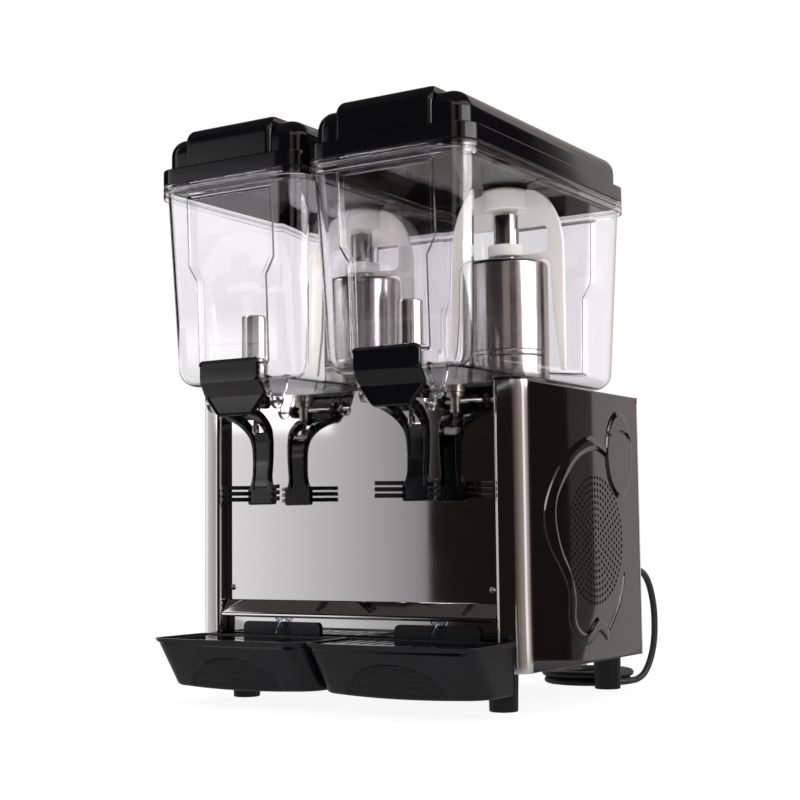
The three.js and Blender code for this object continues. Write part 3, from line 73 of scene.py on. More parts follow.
# Mains cord
# A round black rubber lead, 8 mm thick and 1.7 m long. It leaves the gland on the rear panel, drops to
# the floor and is wound there into a flat coil of two layers, with a moulded two-pin plug on its end.
mm = 0.001
cabinet_middle_y = 55.15
cord_thickness = 8
cord_exit = (188, 188.6, 139)
lead_route = np.array([
    cord_exit, (188, 196.6, 139), (188.4, 212, 133), (189, 223, 122), (189.6, 230.5, 107), (190, 235, 90),
    (189.6, 237, 72), (188.4, 237.5, 54), (186, 236, 37), (182.6, 231, 21), (178.6, 223, 9.5),
    (173.825, 212.3, 4.3), (173.825, 204.3, 4.3),
])
coil_middle = (118, 196)
coil_outer_radius, coil_pitch, coil_turns, coil_floor = 55.825, 8.6, 5.5, 4.3


def placed(points):
    """Points in millimetres, y from the cabinet's middle, as metres in the part's frame."""
    return (np.asarray(points, float) + (0, cabinet_middle_y, 0)) * mm


def flowing(points, steps):
    """A centripetal Catmull-Rom curve: between two points a cubic whose slopes come from the neighbours,
    each step weighted by the square root of its length."""
    points = np.vstack([2 * points[0] - points[1], points, 2 * points[-1] - points[-2]])
    root = np.sqrt(np.linalg.norm(np.diff(points, axis=0), axis=1))[:, None]
    step = np.diff(points, axis=0) / root
    slope = step[:-1] + step[1:] - (points[2:] - points[:-2]) / (root[:-1] + root[1:])
    start, end, wide = points[1:-2], points[2:-1], root[1:-1]
    t = np.linspace(0, 1, steps, endpoint=False)[None, :, None]
    start, end = start[:, None], end[:, None]
    leave, reach = (slope[:-1] * wide)[:, None], (slope[1:] * wide)[:, None]
    curve = (
        (2 * t**3 - 3 * t**2 + 1) * start + (t**3 - 2 * t**2 + t) * leave
        + (3 * t**2 - 2 * t**3) * end + (t**3 - t**2) * reach
    )
    return np.vstack([curve.reshape(-1, 3), points[-2]])


def coil():
    """Two spirals on each other: the radius falls by a pitch a turn, then grows again, and the height
    rises by a pitch in the half turn between them. Both ends run straight on for a cord's thickness."""
    turn = np.linspace(0, coil_turns, 265)
    radius = coil_outer_radius - coil_pitch * np.minimum(turn, coil_turns - turn)
    climb = np.clip(2 * (turn - coil_turns / 2) + 0.5, 0, 1)
    turns = np.stack([
        coil_middle[0] + radius * np.cos(2 * np.pi * turn),
        coil_middle[1] - radius * np.sin(2 * np.pi * turn),
        coil_floor + coil_pitch * climb,
    ], 1)
    ahead = np.array([0, cord_thickness, 0])
    return np.vstack([turns[0] + ahead, turns, turns[-1] + ahead])


def finish(name, colour, roughness, metallic=0.0, **sockets):
    """A material of one Principled shader with these plain values."""
    material = bpy.data.materials.new(name)
    material.use_nodes = True
    material.diffuse_color = (*colour, 1)
    shader = material.node_tree.nodes["Principled BSDF"]
    shader.inputs["Base Color"].default_value = (*colour, 1)
    shader.inputs["Roughness"].default_value = roughness
    shader.inputs["Metallic"].default_value = metallic
    for socket, value in sockets.items():
        shader.inputs[socket.replace("_", " ")].default_value = value
    return material


def node(tree, kind, operation=None, **values):
    """A new shader node, with its operation and these values of its inputs."""
    made = tree.nodes.new(f"ShaderNode{kind}")
    if operation:
        made.operation = operation
    for socket, value in values.items():
        made.inputs[socket.replace("_", " ")].default_value = value
    return made


def wire(tree, *links):
    """Links shader nodes. Each link is a node, its output, the next node and its input."""
    for start, output, end, target in links:
        tree.links.new(start.outputs[output], end.inputs[target])


skin_sockets = ("Grain", "Depth", "Haze", "Smooth", "Rough", "Stretch")


def skin_group():
    """Moulded or rolled skin: noise at a fine scale lifts the surface, and a second, broad noise moves
    the roughness between two values. Stretch squeezes the pattern along each axis."""
    group = bpy.data.node_groups.new("surface_skin", "ShaderNodeTree")
    for name in (*skin_sockets, "Roughness", "Normal"):
        group.interface.new_socket(
            name, in_out="INPUT" if name in skin_sockets else "OUTPUT",
            socket_type="NodeSocketVector" if name in ("Stretch", "Normal") else "NodeSocketFloat",
        )
    given, out = group.nodes.new("NodeGroupInput"), group.nodes.new("NodeGroupOutput")
    where, stretch = node(group, "TexCoord"), node(group, "VectorMath", "MULTIPLY")
    grain, haze = node(group, "TexNoise", Detail=3), node(group, "TexNoise", Detail=5)
    bump = node(group, "Bump", Distance=0.0002)
    spread = node(group, "MapRange", From_Min=0.35, From_Max=0.7)
    wire(
        group, (where, "Object", stretch, 0), (given, "Stretch", stretch, 1),
        (stretch, 0, grain, "Vector"), (given, "Grain", grain, "Scale"),
        (given, "Depth", bump, "Strength"), (grain, "Fac", bump, "Height"),
        (where, "Object", haze, "Vector"), (given, "Haze", haze, "Scale"), (haze, "Fac", spread, "Value"),
        (given, "Smooth", spread, "To Min"), (given, "Rough", spread, "To Max"),
        (spread, "Result", out, "Roughness"), (bump, "Normal", out, "Normal"),
    )
    return group


surface_skin = skin_group()


def skinned(name, colour, roughness, metallic, skin, stretch=(1, 1, 1), **sockets):
    """A finish whose roughness and normal come from the skin group. Skin holds the group's Grain, Depth,
    Haze, Smooth and Rough."""
    material = finish(name, colour, roughness, metallic, **sockets)
    tree = material.node_tree
    layer = node(tree, "Group")
    layer.node_tree = surface_skin
    for socket, value in zip(skin_sockets, (*skin, stretch)):
        layer.inputs[socket].default_value = value
    shader = tree.nodes["Principled BSDF"]
    wire(tree, (layer, "Roughness", shader, "Roughness"), (layer, "Normal", shader, "Normal"))
    return material


cord_rubber = skinned("cord_rubber", (0.016, 0.016, 0.018), 0.5, 0, (1400, 0.25, 30, 0.38, 0.6))
cord_points = placed(np.vstack([flowing(lead_route, 3), coil()]))
cord_line = bpy.data.curves.new("cord", "CURVE")
cord_line.dimensions = "3D"
cord_line.bevel_depth = cord_thickness / 2 * mm
cord_line.bevel_resolution = 4
cord_line.use_fill_caps = True
cord_spline = cord_line.splines.new("POLY")
cord_spline.points.add(len(cord_points) - 1)
cord_spline.points.foreach_set("co", np.c_[cord_points, np.ones(len(cord_points))].ravel())
cord_line.materials.append(cord_rubber)
cord = added("cord", cord_line)
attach(cord, "cabinet")
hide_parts("cord_lead", "cord_coil")

# Cord gland and plug
# Both are moulded in the cord's rubber: the gland's tapered boot has rings that let it bend, and the plug
# is a rounded block with a tapered sleeve and two round brass pins.
gland_x, gland_z, gland_y = 188, 139, 150.3
quarter = math.pi / 2


def joined(rings, closed_along=False, capped=True):
    """The faces between loops of points, rings[row, point]: a quad joins two neighbours of a row to the
    same two of the next row. The end loops are filled, or the last row meets the first."""
    rows, count = rings.shape[:2]
    first = np.arange(rows if closed_along else rows - 1)[:, None]
    this = np.arange(count)[None, :]
    low, high = first * count, (first + 1) % rows * count
    after = (this + 1) % count
    quads = np.stack([low + this, low + after, high + after, high + this], -1).reshape(-1, 4).tolist()
    if capped and not closed_along:
        quads += [list(range(count)), list(range((rows - 1) * count, rows * count))]
    return rings.reshape(-1, 3), quads


def piece(name, surfaces, material, body, nodes=(), slot=None, sharp=35, weld=0.001):
    """One mesh object of several surfaces, each points in millimetres with its faces. Doubles are merged,
    faces turned outwards, and edges bent by more than sharp degrees stay crisp."""
    mesh_points = np.vstack([points for points, _ in surfaces])
    faces, start = [], 0
    for points, quads in surfaces:
        faces += [[start + corner for corner in face] for face in quads]
        start += len(points)
    mesh = bpy.data.meshes.new(name)
    mesh.from_pydata(placed(mesh_points), [], faces)
    work = bmesh.new()
    work.from_mesh(mesh)
    bmesh.ops.remove_doubles(work, verts=work.verts, dist=weld * mm)
    bmesh.ops.dissolve_degenerate(work, edges=work.edges, dist=weld * mm)
    bmesh.ops.recalc_face_normals(work, faces=work.faces)
    work.to_mesh(mesh)
    work.free()
    mesh.shade_smooth()
    corners = np.empty(len(mesh.polygons), int)
    mesh.polygons.foreach_get("loop_total", corners)
    mesh.polygons.foreach_set("use_smooth", corners <= 8)
    mesh.set_sharp_from_angle(angle=math.radians(sharp))
    mesh.materials.append(material)
    made = added(name, mesh)
    weighted = made.modifiers.new("weighted", "WEIGHTED_NORMAL")
    weighted.keep_sharp = True
    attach(made, body)
    if nodes:
        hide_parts(*nodes)
    return made


def eased(path, radius, steps=4):
    """A path whose inner corners are rounded: each is replaced by the parabola that leaves one side and
    meets the next at the given distance from the corner, or at half the side where that is less."""
    path = np.asarray(path, float)
    radii = np.broadcast_to(radius, len(path) - 2)
    t = np.linspace(0, 1, steps + 1)[:, None]
    points = [path[:1]]
    for before, corner, after, reach in zip(path, path[1:], path[2:], radii):
        back, on = before - corner, after - corner
        start = corner + back * min(reach / np.linalg.norm(back), 0.5)
        end = corner + on * min(reach / np.linalg.norm(on), 0.5)
        points.append((1 - t) ** 2 * start + 2 * t * (1 - t) * corner + t**2 * end)
    return np.vstack([*points, path[-1:]])


axis_order = {"x": (2, 0, 1), "y": (0, 2, 1), "z": (0, 1, 2)}


def turned(profile, steps=48, middle=(0, 0), axis="z"):
    """A profile of (radius, height) turned about an axis: the radius times the cosine and the sine of the
    angle, and the height along the axis. Ends on the axis are closed."""
    profile = np.asarray(profile, float)
    angle = np.linspace(0, 2 * np.pi, steps, endpoint=False)
    radius, height = profile[:, :1], np.repeat(profile[:, 1:], steps, 1)
    across, up = radius * np.cos(angle), radius * np.sin(angle)
    rings = np.stack([middle[0] + across, middle[1] + up, height], -1)[..., axis_order[axis]]
    return joined(rings, closed_along=np.allclose(profile[0], profile[-1]))


boot_length = np.linspace(0, 34, 69)
boot_radius = 8 - boot_length / 34 * 2.8 - 0.9 * (np.sin(boot_length / 34 * 12 * np.pi) > 0.2)
gland = piece("cord_gland", [turned([
    (0, gland_y - 6.8), (7, gland_y - 6.8), (7, gland_y), (12, gland_y), (13, gland_y + 1), (13, gland_y + 3),
    (12, gland_y + 4), *zip(boot_radius, gland_y + 4 + boot_length), (0, gland_y + 38),
], 32, (gland_x, gland_z), "y")], cord_rubber, "cabinet", ["cord_relief"], "cord_rubber")

plug_x, plug_z, plug_y = 62.175, 12.9, 204.3


def arc(middle, radii, start, end, steps=20):
    """Points of a round or elliptical arc between two angles, in quarter turns."""
    angle = np.linspace(start, end, steps) * quarter
    return middle + np.stack([np.cos(angle), np.sin(angle)], 1) * radii


def rounded_box_loop(half_wide, half_high, radius, steps=6):
    """A rectangle with rounded corners about the middle: each corner a quarter circle of the radius."""
    return np.vstack([
        arc((side * (half_wide - radius), rise * (half_high - radius)), radius, turn, turn + 1, steps)
        for side, rise, turn in ((1, 1, 0), (-1, 1, 1), (-1, -1, 2), (1, -1, 3))
    ])


def stood(loop, at, axis):
    """A flat loop at one place along an axis. Its two values run along the other two axes."""
    return np.c_[loop, np.full(len(loop), at)][:, axis_order[axis]]


plug_rows = [
    (4.2, 4.2, 4.1, 0), (6.4, 6.4, 6.3, 26), (9, 7.4, 5.8, 29), (11.2, 8, 5.6, 31.5), (12, 8.5, 5.5, 36),
    (12, 8.5, 5.5, 46), (11, 7.9, 5.2, 51), (11.6, 8.3, 5.4, 57), (11.6, 8.3, 5.4, 64), (10.6, 7.4, 4.8, 66),
]
plug_rings = np.stack([
    stood(rounded_box_loop(half_wide, half_high, radius) + (plug_x, plug_z), plug_y + along, "y")
    for half_wide, half_high, radius, along in plug_rows
])
plug = piece("mains_plug", [joined(plug_rings)], cord_rubber, "cabinet", ["plug"], "cord_rubber")
pin_brass = skinned("pin_brass", (0.55, 0.38, 0.16), 0.25, 1, (500, 0.05, 80, 0.18, 0.35))
plug_pins = piece("plug_pins", [turned([
    (0, 268), (2.4, 268), (2.4, 287.8), (1.9, 288.9), (0, 289.3),
], 20, (plug_x + offset, plug_z), "y") for offset in (-7, 7)], pin_brass, "cabinet")

# Feet
# Four moulded black plastic feet screwed up into the base pan. Each is a little narrower at the floor and
# has twelve upright flutes.
foot_places = {
    "foot_front_left": (-170.4, -127.4), "foot_front_right": (170.4, -127.4),
    "foot_rear_left": (-170.4, 134.7), "foot_rear_right": (170.4, 134.7),
}
gloss_plastic = skinned("gloss_plastic", (0.002, 0.002, 0.0026), 0.1, 0, (60, 0.02, 9, 0.05, 0.11))


def fluted_foot(middle):
    """A cylinder whose radius falls from 16.5 at the top to 15.5 at the floor, less a flute 0.8 deep that
    follows the absolute sine of six times the angle. The rims are rounded."""
    height = np.array([0, 0, 0.4, 1.2, 40.8, 41.6, 42])
    draw = np.array([2.2, 1, 0.3, 0, 0, 0.3, 1])
    angle = np.linspace(0, 2 * np.pi, 144, endpoint=False)
    flute = 0.8 * (1 - np.abs(np.sin(6 * angle)) ** 0.35)
    radius = (15.5 + height / 42 - draw)[:, None] - flute * (height > 0.3)[:, None]
    return joined(np.stack([
        middle[0] + radius * np.cos(angle), middle[1] + radius * np.sin(angle),
        np.repeat(height[:, None], len(angle), 1),
    ], -1))


for foot, middle in foot_places.items():
    piece(f"fluted_{foot}", [fluted_foot(middle)], gloss_plastic, "cabinet", [foot], "black_gloss", sharp=50)

# Base pan
# A pressed steel pan, painted matt black. It carries the feet, the compressor and the panels.
black_paint = skinned("black_paint", (0.02, 0.02, 0.022), 0.5, 0, (700, 0.3, 20, 0.4, 0.6))


def dress(material, slot, *names):
    """Gives CAD nodes that stay a finish of their own. The slot is not used."""
    for name in names:
        cad[name].data.materials.clear()
        cad[name].data.materials.append(material)


dress(black_paint, "black_paint", "base_pan")

# Cooling unit
# A hermetic compressor in black enamel, an aluminium fin condenser, and a small fan motor whose black
# plastic blades blow out through the right vent.
fin_aluminium = finish("fin_aluminium", (0.5, 0.5, 0.5), 0.35, 1.0)
fin_tree = fin_aluminium.node_tree
fin_where = node(fin_tree, "TexCoord")
fin_wave = node(fin_tree, "TexWave", Scale=110)
fin_wave.bands_direction = "Y"
fin_bump = node(fin_tree, "Bump", Distance=0.001)
wire(
    fin_tree, (fin_where, "Object", fin_wave, "Vector"), (fin_wave, "Fac", fin_bump, "Height"),
    (fin_bump, "Normal", fin_tree.nodes["Principled BSDF"], "Normal"),
)
dress(fin_aluminium, "fin_aluminium", "condenser")
dress(black_paint, "black_paint", "compressor", "fan_motor", "drive_motor_left", "drive_motor_right")
matt_plastic = skinned("matt_plastic", (0.012, 0.012, 0.014), 0.4, 0, (1100, 0.35, 12, 0.3, 0.5))
dress(matt_plastic, "black_plastic", "fan_blade", "top_deck")

# Front panel and its screws
# A flat sheet of mirror-polished stainless steel between the columns, held low down by two dome-head
# cross screws.
mirror_steel = skinned(
    "mirror_steel", (0.78, 0.765, 0.76), 0.06, 1, (260, 0.004, 7, 0.035, 0.07), (1, 1, 0.02),
)
dress(mirror_steel, "mirror_steel", "front_panel")
screw_half_spread, screw_height, screw_radius, screw_dome = 172, 127.5, 3.4, 2.2


def cross_screw(x):
    """A dome, its height falling with the square of the distance from the middle, less a cross whose
    depth is taken from the lesser of the two distances to the arms' middle lines."""
    share = np.linspace(1, 0, 15)[:, None]
    angle = np.linspace(0, 2 * np.pi, 48, endpoint=False)
    across, up = screw_radius * share * np.cos(angle), screw_radius * share * np.sin(angle)
    arm = np.minimum(np.abs(across), np.abs(up))
    within = (share < 0.62) & (arm < 0.45)
    proud = 0.4 + screw_dome * (1 - share**2) - 0.9 * within
    base = np.stack([x + across[:1], np.full((1, 48), -149.9), screw_height + up[:1]], -1)
    return joined(np.vstack([base, np.stack([x + across, -150 - proud, screw_height + up], -1)]))


piece(
    "panel_screws", [cross_screw(x) for x in (-screw_half_spread, screw_half_spread)], mirror_steel,
    "cabinet", slot="mirror_steel", sharp=50,
)

# Drip ledge and lower panel
# One bent sheet of the same steel: it slopes forward under the front panel, turns back over a rolled
# edge and drops as the lower panel.
ledge_half_width, sheet = 180.5, 1.5


def unit(ways):
    """These directions, each at length 1."""
    return ways / np.linalg.norm(ways, axis=-1, keepdims=True)


def band(path, thickness):
    """A path thickened to its left: every point is also moved along the mean normal of its two sides."""
    step = np.diff(path, axis=0)
    normal = unit(np.stack([-step[:, 1], step[:, 0]], 1))
    mean = unit(np.vstack([normal[:1], normal[:-1] + normal[1:], normal[-1:]]))
    lean = (mean * np.vstack([normal[:1], normal])).sum(1)[:, None]
    return np.vstack([path, (path + mean * thickness / lean)[::-1]])


def drawn_along(outline, low, high, axis="x", edge=0.0):
    """An outline carried straight from low to high. In the last stretch at each end it is drawn in
    towards its own middle by the edge, so that the rim is bevelled."""
    middle = (outline.min(0) + outline.max(0)) / 2
    half = (outline.max(0) - outline.min(0)) / 2
    smaller = middle + (outline - middle) * (1 - edge / half)
    rows = [(low, smaller), (low + edge, outline), (high - edge, outline), (high, smaller)]
    rows = rows if edge else [rows[0], rows[3]]
    return joined(np.stack([stood(loop, at, axis) for at, loop in rows]))


ledge_path = eased([
    (-148.5, 115.2), (-150, 113.5), (-161.3, 98), (-161.3, 95), (-147.5, 95), (-147.5, 42.3),
], [1.2, 2.2, 1.4, 2], 6)
piece(
    "bent_ledge", [drawn_along(band(ledge_path, sheet), -ledge_half_width, ledge_half_width)], mirror_steel,
    "cabinet", ["drip_ledge"], "mirror_steel", sharp=60,
)

# Columns, rear strips and their caps
# Mirror-polished stainless sheet, roll-formed round the four upright corners. Black plastic caps close
# the tops of the front columns.
column_bottom, column_top = 42.3, 346.9


def column_path(grow):
    """The outer line of the right front column from its inner rear edge round the front to the side."""
    return np.vstack([
        [(182 - grow, -148.5)],
        arc((186.5, -158.5), 4.5 + grow, 2, 3, 8),
        arc((188, -144.3), (27 + grow, 18.7 + grow), 3, 4, 32),
    ])


hands = (("left", -1), ("right", 1))
for side, sign in hands:
    column = band(column_path(0), sheet) * (sign, 1)
    piece(
        f"rolled_column_{side}", [drawn_along(column, column_bottom, column_top, "z")], mirror_steel,
        "cabinet", [f"column_{side}"], "mirror_steel",
    )
    cap = column_path(0.8) * (sign, 1)
    piece(
        f"moulded_cap_{side}", [drawn_along(cap, 347.2, 350.2, "z", 0.8)], gloss_plastic,
        "cabinet", [f"column_cap_{side}"], "black_gloss",
    )
    strip = band(arc((200, 136.8), (15, 13.2), 0, 1, 16), sheet) * (sign, 1)
    piece(
        f"rolled_strip_{side}", [drawn_along(strip, column_bottom, 340, "z")], mirror_steel,
        "cabinet", [f"rear_strip_{side}"], "mirror_steel",
    )

# Rear panel
# A plain sheet of brushed stainless steel with two columns of louvre slots.
brushed_steel = skinned(
    "brushed_steel", (0.56, 0.53, 0.51), 0.25, 1, (1500, 0.12, 25, 0.2, 0.32), (0.03, 1, 1),
)
dress(brushed_steel, "brushed_steel", "rear_panel")

# Side panels
# Moulded in glossy black plastic, 3 mm thick, each with a round perforated vent, a raised band that sweeps
# round it, a raised oval and two grooves. The left one has the rocker switches in its oval.
panel_face, panel_back = 215, 212
panel_front, panel_rear, panel_low, panel_high = -144, 136.5, 42.3, 346.9
vent_y, vent_z, vent_pitch, vent_rings = 14.8, 177.9, 7.05, 10
vent_edge = vent_pitch * (vent_rings + 0.5)
oval_y, oval_z, oval_rise, sweep_rise = 83, 276, 1.6, 1.2
rim_round, rim_margin, collar, hole_radius = 1.5, 2.6, 3.2, 2.05
sweep_outer = np.array([
    (54, 284), (31, 287.5), (2, 293.5), (-42, 279), (-83, 254), (-110.5, 221), (-116, 200), (-105.5, 174),
    (-78, 147), (-60, 124), (-59, 90), (-42, 71), (-25, 64), (-12, 62.5), (3, 67), (17, 75), (29, 70),
    (41, 62),
])
sweep_inner = np.array([
    (56, 268), (40, 275), (15, 280.5), (-27.5, 270), (-61, 246), (-82, 222), (-85, 200), (-72, 168),
    (-49, 141), (-40, 116), (-41, 92), (-32, 81), (-19, 76), (-6, 79), (6, 87), (17, 91.5), (30, 86),
    (46, 78),
])
grooves = [
    (np.array([(90, 136.5), (86, 125), (80, 114), (73, 104), (65, 95), (46, 78)]), 2.6, 1.7),
    (np.array([(50, 299), (62, 302), (83, 303), (100, 300), (112, 295.5)]), 2.4, 1.3),
]


def smooth_step(value):
    """0 below 0, 1 above 1, and 3v² - 2v³ between."""
    value = np.clip(value, 0, 1)
    return value * value * (3 - 2 * value)


vent_black = finish("vent_black", (0.006, 0.006, 0.006), 0.9)
polished_plastic = skinned(
    "polished_plastic", (0.004, 0.0032, 0.0032), 0.03, 0, (40, 0.01, 6, 0.025, 0.04),
)


def distance_to(points, line):
    """The shortest distance from every point to a broken line, both in (y, z)."""
    start, run = line[:-1], np.diff(line, axis=0)
    along = np.clip(((points[:, None] - start) * run).sum(-1) / (run**2).sum(-1), 0, 1)
    return np.linalg.norm(points[:, None] - start - along[..., None] * run, axis=-1).min(1)


def inside_loop(points, loop):
    """Whether each point lies inside a closed loop: a level line from it crosses an odd number of
    sides."""
    after = np.roll(loop, -1, 0)
    rise = points[:, 1:]
    spans = (loop[:, 1] > rise) != (after[:, 1] > rise)
    step = np.where(after[:, 1] == loop[:, 1], 1, after[:, 1] - loop[:, 1])
    crossing = loop[:, 0] + (rise - loop[:, 1]) * (after[:, 0] - loop[:, 0]) / step
    return (spans & (points[:, :1] < crossing)).sum(1) % 2 == 1


def panel_drop(points):
    """How far the panel's outer face lies below its plane, in mm. The sweep between its two lines and the
    oval stand proud of it with soft edges, and each groove is a soft valley."""
    outer, inner = (
        flowing(np.c_[line, np.zeros(len(line))], 6)[:, :2] for line in (sweep_outer, sweep_inner)
    )
    within = inside_loop(points, np.vstack([outer, inner[::-1]]))
    ends = np.minimum(*(distance_to(points, np.array([outer[i], inner[i]])) for i in (0, -1)))
    drop = -sweep_rise * within * smooth_step(distance_to(points, outer) / 3.4) * smooth_step(ends / 6)
    drop *= smooth_step(distance_to(points, inner) / 2.2)
    oval = np.hypot((points[:, 0] - oval_y) / 38.5, (points[:, 1] - oval_z) / 51)
    drop = np.minimum(drop, -oval_rise * smooth_step((1 - oval) * 9))
    for line, reach, depth in grooves:
        drop += depth * smooth_step(1 - distance_to(points, line) / reach)
    return drop


def panel_surface(sign):
    """The panel round its vent: rays from the vent's edge to points spaced evenly on the rectangle's
    sides, out along the outer face, over a rim rounded by 1.5 mm, and back along the inner face."""
    across, up = np.linspace(panel_front, panel_rear, 131), np.linspace(panel_low, panel_high, 141)
    rim = np.vstack([
        np.c_[across, np.full_like(across, panel_low)][:-1], np.c_[np.full_like(up, panel_rear), up][:-1],
        np.c_[across[::-1], np.full_like(across, panel_high)][:-1],
        np.c_[np.full_like(up, panel_front), up[::-1]][:-1],
    ])
    middle = np.array([vent_y, vent_z])
    reach = np.linalg.norm(rim - middle, axis=1)
    way = unit(rim - middle)
    share = np.linspace(0, 1, 76)[1:, None]
    far = np.vstack([
        np.broadcast_to(vent_edge + np.linspace(0, collar, 5)[:, None], (5, len(rim))),
        vent_edge + collar + (reach - rim_margin - vent_edge - collar) * share,
        reach - np.array([[1.7], [1.1], [0.6], [0.25], [0]]),
    ])
    front = middle + way * far[..., None]
    flat = front.reshape(-1, 2)
    to_edge = np.minimum.reduce([
        flat[:, 0] - panel_front, panel_rear - flat[:, 0], flat[:, 1] - panel_low, panel_high - flat[:, 1],
    ])
    bend = rim_round - np.sqrt(np.maximum(rim_round**2 - np.maximum(rim_round - to_edge, 0) ** 2, 0))
    face = (panel_face - panel_drop(flat) - bend).reshape(front.shape[:2])
    rows = np.concatenate([
        np.concatenate([face[..., None], front], -1),
        np.concatenate([np.full_like(face, panel_back)[..., None], front], -1)[::-1],
    ])
    points, quads = joined(rows * (sign, 1, 1), closed_along=True)
    return points, np.array(quads)


def vent_cells(sign, bores):
    """The vent: rings of round holes, 6, 12, 18 and so on. Each cell is a square of the ring's width bent
    round the middle, with its hole. Either the outer faces or the bores and the inner faces."""
    rings = np.arange(1, vent_rings + 1)
    ring = np.repeat(rings, 6 * rings)
    place = np.arange(len(ring)) - np.repeat(3 * rings * (rings - 1), 6 * rings)
    turn = (place + 0.5 * (ring % 2)) * np.pi / 3 / ring
    side = np.array([
        (-1, -1), (-0.5, -1), (0, -1), (0.5, -1), (1, -1), (1, -0.5), (1, 0), (1, 0.5), (1, 1), (0.5, 1),
        (0, 1), (-0.5, 1), (-1, 1), (-1, 0.5), (-1, 0), (-1, -0.5),
    ])
    radius = vent_pitch * (ring[:, None] + side[:, 1] / 2)
    angle = turn[:, None] + side[:, 0] * np.pi / 6 / ring[:, None]
    square = np.stack([radius * np.cos(angle), radius * np.sin(angle)], -1)
    hole = unit(side)
    out = np.stack([np.cos(turn), np.sin(turn)], 1)
    along = np.stack([-np.sin(turn), np.cos(turn)], 1)
    middle = out * vent_pitch * ring[:, None]
    bore = hole_radius * (out[:, None] * hole[:, 1:] + along[:, None] * hole[:, :1]) + middle[:, None]
    wide = middle[:, None] + (bore - middle[:, None]) * 1.08
    loops = [(square, panel_face), (wide, panel_face)]
    if bores:
        loops = [(wide, panel_face), (bore, 214.8), (bore, panel_back), (square, panel_back)]
    rows = np.stack([
        np.concatenate([np.full((*loop.shape[:2], 1), x), loop + (vent_y, vent_z)], -1) for loop, x in loops
    ], 1)
    pattern = np.array(joined(rows[0], capped=False)[1])
    quads = (pattern + 16 * len(loops) * np.arange(len(ring))[:, None, None]).reshape(-1, 4)
    return rows.reshape(-1, 3) * (sign, 1, 1), quads.tolist()


def cut_openings(points, quads, middles, half_wide, half_high):
    """Cuts upright openings into a panel: faces whose middle lies in one are left out, the corners that
    stay inside are moved to the nearest side, and a short tube lines the opening."""
    middle_of = points[quads].mean(1)
    surfaces, keep = [], np.ones(len(quads), bool)
    for y in middles:
        def depth(at):
            return np.stack([half_wide - abs(at[:, 1] - y), half_high - abs(at[:, 2] - oval_z)], 1)
        keep &= depth(middle_of).min(1) <= 0
        inner = depth(points)
        inside, nearer_side = inner.min(1) > 0, inner[:, 0] <= inner[:, 1]
        wide, high = inside & nearer_side, inside & ~nearer_side
        points[wide, 1] = y + half_wide * np.sign(points[wide, 1] - y)
        points[high, 2] = oval_z + half_high * np.sign(points[high, 2] - oval_z)
        corner = np.array([(-1, -1), (1, -1), (1, 1), (-1, 1)]) * (half_wide, half_high) + (y, oval_z)
        surfaces.append(joined(np.stack([
            stood(corner, -x, "x") for x in (panel_face + 1.5, panel_back)
        ]), capped=False))
    return [(points, quads[keep].tolist()), *surfaces]


centre_ring = np.array([(1.9, 215), (3.6, 215), (3.6, 212), (1.9, 212), (1.9, 215)])
for side, sign in hands:
    points, quads = panel_surface(sign)
    around = [(points, quads.tolist())]
    if side == "left":
        around = cut_openings(points, quads, (60, 83, 106), 9.8, 14.8)
    middle_hole = turned(centre_ring * (1, sign), 16, (vent_y, vent_z), "x")
    piece(
        f"moulded_panel_{side}", [*around, vent_cells(sign, False), middle_hole], polished_plastic, "cabinet",
        [f"side_panel_{side}"], "black_gloss", sharp=50,
    )
    piece(f"vent_bores_{side}", [vent_cells(sign, True)], vent_black, "cabinet", sharp=50)
dress(matt_plastic, "black_plastic", "rocker_switch_1", "rocker_switch_2", "rocker_switch_3")

# Tray hangers
# Bent black plastic plates, screwed to the lower panel, whose tongues enter the trays' rear pockets. Two
# crossed clear plastic hooks stand at the middle of each.
bowl_spread = 103.1
hanger_plastic = skinned("hanger_plastic", (0.005, 0.006, 0.009), 0.25, 0, (60, 0.03, 9, 0.2, 0.32))
dress(hanger_plastic, "black_plastic", "tray_bracket_left", "tray_bracket_right")
clip_plastic = finish("clip_plastic", (0.62, 0.72, 0.98), 0.05, Transmission_Weight=1.0, IOR=1.45)
clip_line = flowing(np.array([
    (-9, -152, 76), (-5.5, -155.5, 80), (-1.5, -157, 85.5), (2, -157, 90.5), (4.5, -155.5, 94),
]), 5)


def both(name, surfaces, material, body, cad_node=None, slot=None, **looks):
    """A piece at each bowl's middle line, of surfaces made about x = 0. Its name, its body and its CAD
    node end in the side, except for the cabinet."""
    for side, x in (("left", -bowl_spread), ("right", bowl_spread)):
        piece(
            f"{name}_{side}", [(points + (x, 0, 0), quads) for points, quads in surfaces], material,
            body if body == "cabinet" else f"{body}_{side}", [f"{cad_node}_{side}"] if cad_node else (),
            slot, **looks,
        )


strands = []
for turn in (-1, 1):
    strand = clip_line * (turn, 1, 1) + (1.5, -0.9 * turn, 0)
    ring = stood(rounded_box_loop(2.1, 0.9, 0.8, 4), 0, "z")
    strands.append(joined(np.stack([at + ring for at in strand])))
both("clear_clip", strands, clip_plastic, "cabinet", sharp=60)

# Drip trays and grids
# Deep black plastic trays with a leaning, bowed front, a rolled rim and a fan-shaped louvred recess. A
# glossy slotted grid lies 5 mm below each rim.
satin_plastic = skinned("satin_plastic", (0.004, 0.004, 0.0055), 0.26, 0, (900, 0.12, 12, 0.24, 0.34))
tray_half, tray_rim, tray_floor, tray_front, tray_back = 100.6, 75, 21, -260, -166
louvres, louvre_pitch = 6, 5.8


